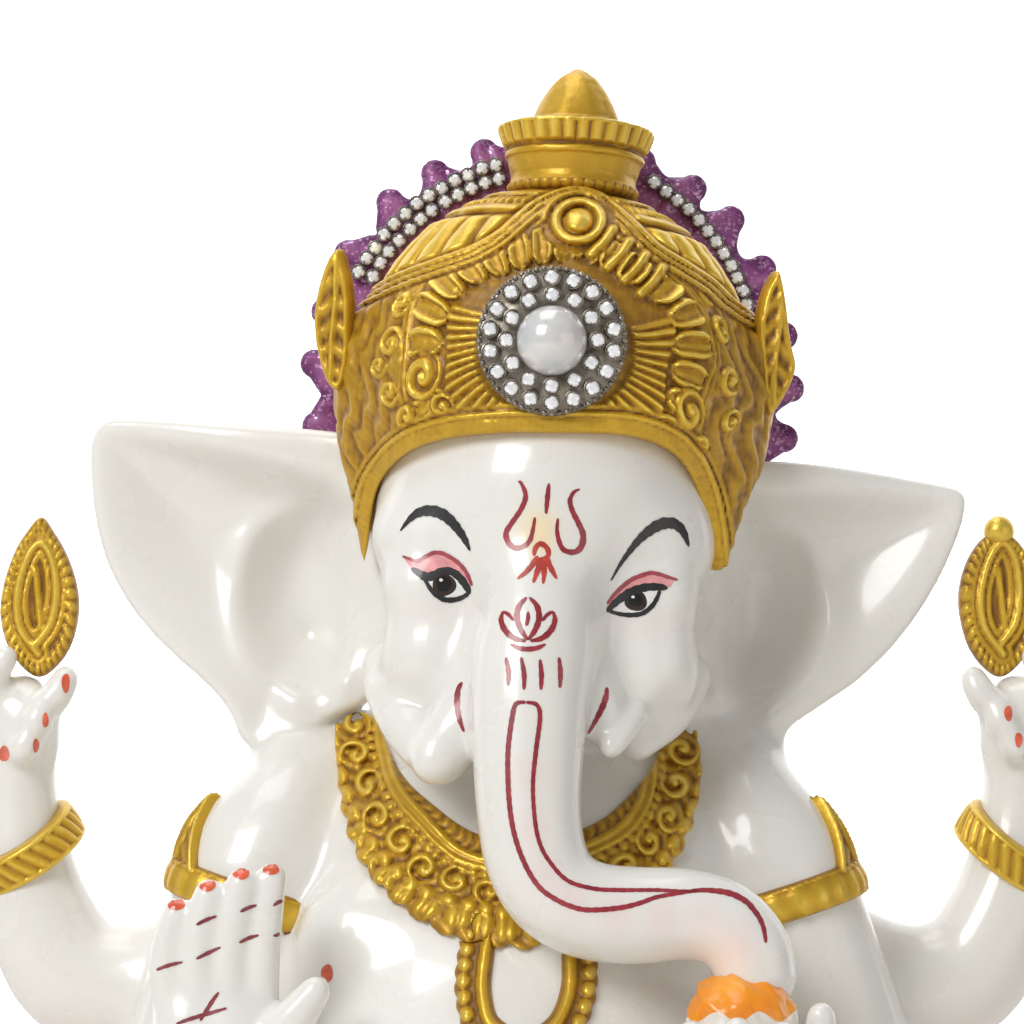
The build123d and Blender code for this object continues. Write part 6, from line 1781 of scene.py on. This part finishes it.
def stroke_rows(pts, widths, step=0.22, across=5):
    p = catmull([tuple(a) + (w,) for a, w in zip(pts, widths)], 14)
    seg = np.concatenate([[0], np.cumsum(np.hypot(*np.diff(p[:, :2], axis=0).T))])
    n = max(6, int(seg[-1] / step))
    s = np.linspace(0, seg[-1], n)
    q = np.stack([np.interp(s, seg, p[:, i]) for i in range(3)], 1)
    t = np.gradient(q[:, :2], axis=0)
    t /= np.maximum(np.linalg.norm(t, axis=1, keepdims=True), 1e-9)
    nn = np.stack([-t[:, 1], t[:, 0]], 1)
    hw = np.maximum(q[:, 2], 0.08) / 2
    # rounded, slightly uneven ends and edges, as a brush leaves them
    endr = np.minimum(s, seg[-1] - s)
    hw = hw * np.sqrt(np.clip(endr / np.maximum(hw, 1e-3), 0.05, 1)) * (1 + 0.07 * np.sin(s * 5.1 + pts[0][0]) + 0.05 * np.sin(s * 12.7))
    return [[tuple(q[i, :2] + nn[i] * hw[i] * f) for f in np.linspace(-1, 1, across)] for i in range(n)]


def build_paint():
    for key, strokes in STROKES.items():
        V, F = [], []
        for pts, widths in strokes:
            if max(widths) < 1.0:  # a loaded brush; eyebrows keep their own widths
                widths = [w * {"maroon": 1.2, "red": 1.25, "black": 1.75, "rose": 1.25, "palm": 1.2}[key] + 0.06 for w in widths]
            sheet_into(V, F, stroke_rows(pts, widths), -36.0, 0.09 if key in ("black", "rose") else 0.06)
        if V:
            mesh_object("painted_lines_" + key, V, F, M_PAINT[key])
    for key, lenses in LENSES.items():
        V, F = [], []
        for up, low in lenses:
            a, b = catmull(up, 10), catmull(low, 10)
            n = 60
            ra = np.stack([np.interp(np.linspace(0, 1, n), np.linspace(0, 1, len(a)), a[:, i]) for i in (0, 1)], 1)
            rb = np.stack([np.interp(np.linspace(0, 1, n), np.linspace(0, 1, len(b)), b[:, i]) for i in (0, 1)], 1)
            rows = [[tuple(ra[i] * (1 - f) + rb[i] * f) for f in np.linspace(0, 1, 9)] for i in range(n)]
            sheet_into(V, F, rows, -36.0, {"lid": 0.045, "white": 0.06}[key])
        mesh_object("painted_" + ("eyelids" if key == "lid" else "eye_whites"), V, F, M_PAINT[key])
    for key, dots in DOTS.items():
        V, F = [], []
        plane = -41.0 if key == "nail" else -36.0
        off = {"iris": 0.075, "pupil": 0.09, "glint": 0.115, "nail": 0.09}[key]
        grow = {"iris": 1.32, "pupil": 1.35, "glint": 1.0, "nail": 1.05}[key]
        for (x, z), rx, rz in dots:
            rx, rz = rx * grow, rz * grow
            c = drop(x, z, plane, off)
            if c is None:
                continue
            b = len(V)
            V.append(c)
            rings, seg = 4, 28
            ok = True
            pts = []
            for r in range(1, rings + 1):
                for k in range(seg):
                    a = 2 * math.pi * k / seg
                    f = r / rings * (1 + 0.05 * math.sin(3 * a + x))
                    p = drop(x + rx * f * math.cos(a), z + rz * f * math.sin(a), plane, off)
                    if p is None or abs(p[1] - c[1]) > 2.6:
                        p = pts[-seg] if len(pts) >= seg else c
                    pts.append(p)
            V.extend(pts)
            for k in range(seg):
                F.append((b, b + 1 + (k + 1) % seg, b + 1 + k))
                for r in range(rings - 1):
                    a0, a1 = b + 1 + r * seg + k, b + 1 + r * seg + (k + 1) % seg
                    F.append((a0, a1, a1 + seg, a0 + seg))
        mesh_object("painted_" + {"iris": "irises", "pupil": "pupils", "glint": "eye_glints", "nail": "nails_and_marks"}[key], V, F, M_PAINT[key])


BACK_GLOW = 1.05
WORLD_S = 0.27
LIGHTS = [
    ("key_softbox", (-0.52, -0.70, 0.66), (0.0, 0.0, 0.15), (0.45, 0.45), 5.7, (1.0, 0.99, 0.975)),
    ("fill_softbox", (0.80, -0.62, 0.20), (0.0, 0.0, 0.14), (0.8, 0.6), 1.15, (1.0, 0.93, 0.84)),
    ("top_softbox", (-0.1, 0.02, 0.85), (0.0, 0.0, 0.15), (0.6, 0.4), 1.7, (1.0, 1.0, 1.0)),
]


# ------------------------------------------------------------------ build
build_legs()
build_foot("foot_right", "right_foot", (-4.0, -44.0, 32.0), (9.0, -47.4, 33.2), ((4.0, -47.0, 32.8), (9.0, 5.6, 4.4), (0, 0, -10)),
           [[(11.5, -47.2 - 0.3 * i + 1.0 * i, 35.6 - 1.6 * i, 2.1 - 0.1 * i), (15.2 + (0.3 if i == 0 else -0.5 * i), -47.6 + 0.9 * i, 35.6 - 1.9 * i, 1.8 - 0.12 * i)] for i in range(5)], (-8, -56, 22), (20, -36, 42))
build_foot("foot_left", "left_foot", (-18.0, -43.6, 28.6), (-31.0, -45.4, 29.0), ((-28.0, -45.6, 28.6), (10.0, 5.4, 4.2), (0, 0, 10)),
           [[(-34.0, -45.2 - 0.2 * i, 31.0 - 1.1 * i, 2.0 - 0.1 * i), (-38.6 + 0.7 * i, -44.6 - 0.6 * i, 31.0 - 1.3 * i, 1.75 - 0.12 * i)] for i in range(5)], (-46, -56, 22), (-10, -36, 38))
build_crown()
build_finial()
build_wings()
build_necklace()
bangle_mesh("bangle_rear_right", "rear_right_bangle", (-74.2, 10.4, 113.6), (-0.62, -0.36, 1), 6.3, 9.1, 5.4, "rope")
bangle_mesh("bangle_rear_left", "rear_left_bangle", (74.1, 10.4, 113.4), (0.70, -0.34, 1), 6.3, 9.1, 5.6, "rope")
bangle_mesh("bangle_front_right", "front_right_bangle", (-45.4, -30.2, 78.6), (0.24, -0.9, 0.4), 5.6, 8.4, 4.2, "bead")
bangle_mesh("bangle_front_left", "front_left_bangle", (42.9, -29.8, 79.0), (-0.5, -0.86, 0.2), 5.6, 8.4, 4.2, "bead")
build_armlets()
build_halo()
build_chain()
build_brooch()
build_laddu()
build_plinth()
build_felt()
build_ear_pins()
build_paint()


def dress(node, material):
    """A CAD node that keeps its own mesh gets a finished material."""
    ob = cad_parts[node]
    if not len(ob.material_slots):
        ob.data.materials.append(material)
    for s in ob.material_slots:
        s.material = material


for node in ("seat_dowels", "neck_dowel", "front_arm_pins", "rear_arm_pins", "finial_pin"):
    dress(node, M_STEEL)
dress("base_plate", M_CARD)

# ------------------------------------------------------------------ backdrop, light, camera
sc = bpy.context.scene


def stage_mesh(name, verts, faces, rgb, glow_s=0.0):
    me = bpy.data.meshes.new(name)
    me.from_pydata(verts, [], faces)
    m = Mat(name)
    m.put("Base Color", m.ramp(m.noise(2.0, 2), [(0.3, tuple(c * 0.995 for c in rgb)), (0.7, rgb)])).put("Roughness", 0.9)
    if glow_s:
        m.put("Emission Color", (1, 1, 1, 1)).put("Emission Strength", glow_s)
    me.materials.append(m.m)
    for p in me.polygons:
        p.use_smooth = True
    ob = bpy.data.objects.new(name, me)
    sc.collection.objects.link(ob)
    return ob


# a floor, and a lit wall behind it
stage_mesh("floor", [(-3.6, -1.6, -0.0002), (3.6, -1.6, -0.0002), (3.6, 1.75, -0.0002), (-3.6, 1.75, -0.0002)], [(0, 1, 2, 3)], (0.82, 0.80, 0.77))
rows = [(1.62, -0.02), (1.66, 0.8), (1.68, 2.0), (1.70, 3.8)]
sv = [(x, yy, zz) for yy, zz in rows for x in (-3.5, 3.5)]
stage_mesh("lit_wall", sv, [(2 * i, 2 * i + 1, 2 * i + 3, 2 * i + 2) for i in range(len(rows) - 1)], (0.9, 0.9, 0.9), BACK_GLOW)

world = bpy.data.worlds.new("studio")
sc.world = world
world.use_nodes = True
world.node_tree.nodes["Background"].inputs[0].default_value = (1.0, 1.0, 1.0, 1)
world.node_tree.nodes["Background"].inputs[1].default_value = WORLD_S


def area(name, loc, target, size, power, rgb=(1, 1, 1)):
    l = bpy.data.lights.new(name, "AREA")
    l.shape = "RECTANGLE"
    l.size, l.size_y = size
    l.energy = power
    l.color = rgb
    ob = bpy.data.objects.new(name, l)
    sc.collection.objects.link(ob)
    ob.location = loc
    ob.rotation_mode = "QUATERNION"
    ob.rotation_quaternion = (Vector(target) - Vector(loc)).to_track_quat("-Z", "Y")
    return ob


for spec in LIGHTS:
    area(*spec)

cam = bpy.data.objects.new("camera", bpy.data.cameras.new("camera"))
sc.collection.objects.link(cam)
cam.location = (-0.0011, -0.750, 0.115)
cam.data.lens = 178.24
cam.data.sensor_width = 36
cam.data.clip_start = 0.01
cam.rotation_mode = "QUATERNION"
cam.rotation_quaternion = (Vector((-0.0011, -0.025, 0.1618)) - cam.location).to_track_quat("-Z", "Y")
sc.camera = cam
sc.view_settings.view_transform = "Standard"
sc.view_settings.look = "None"
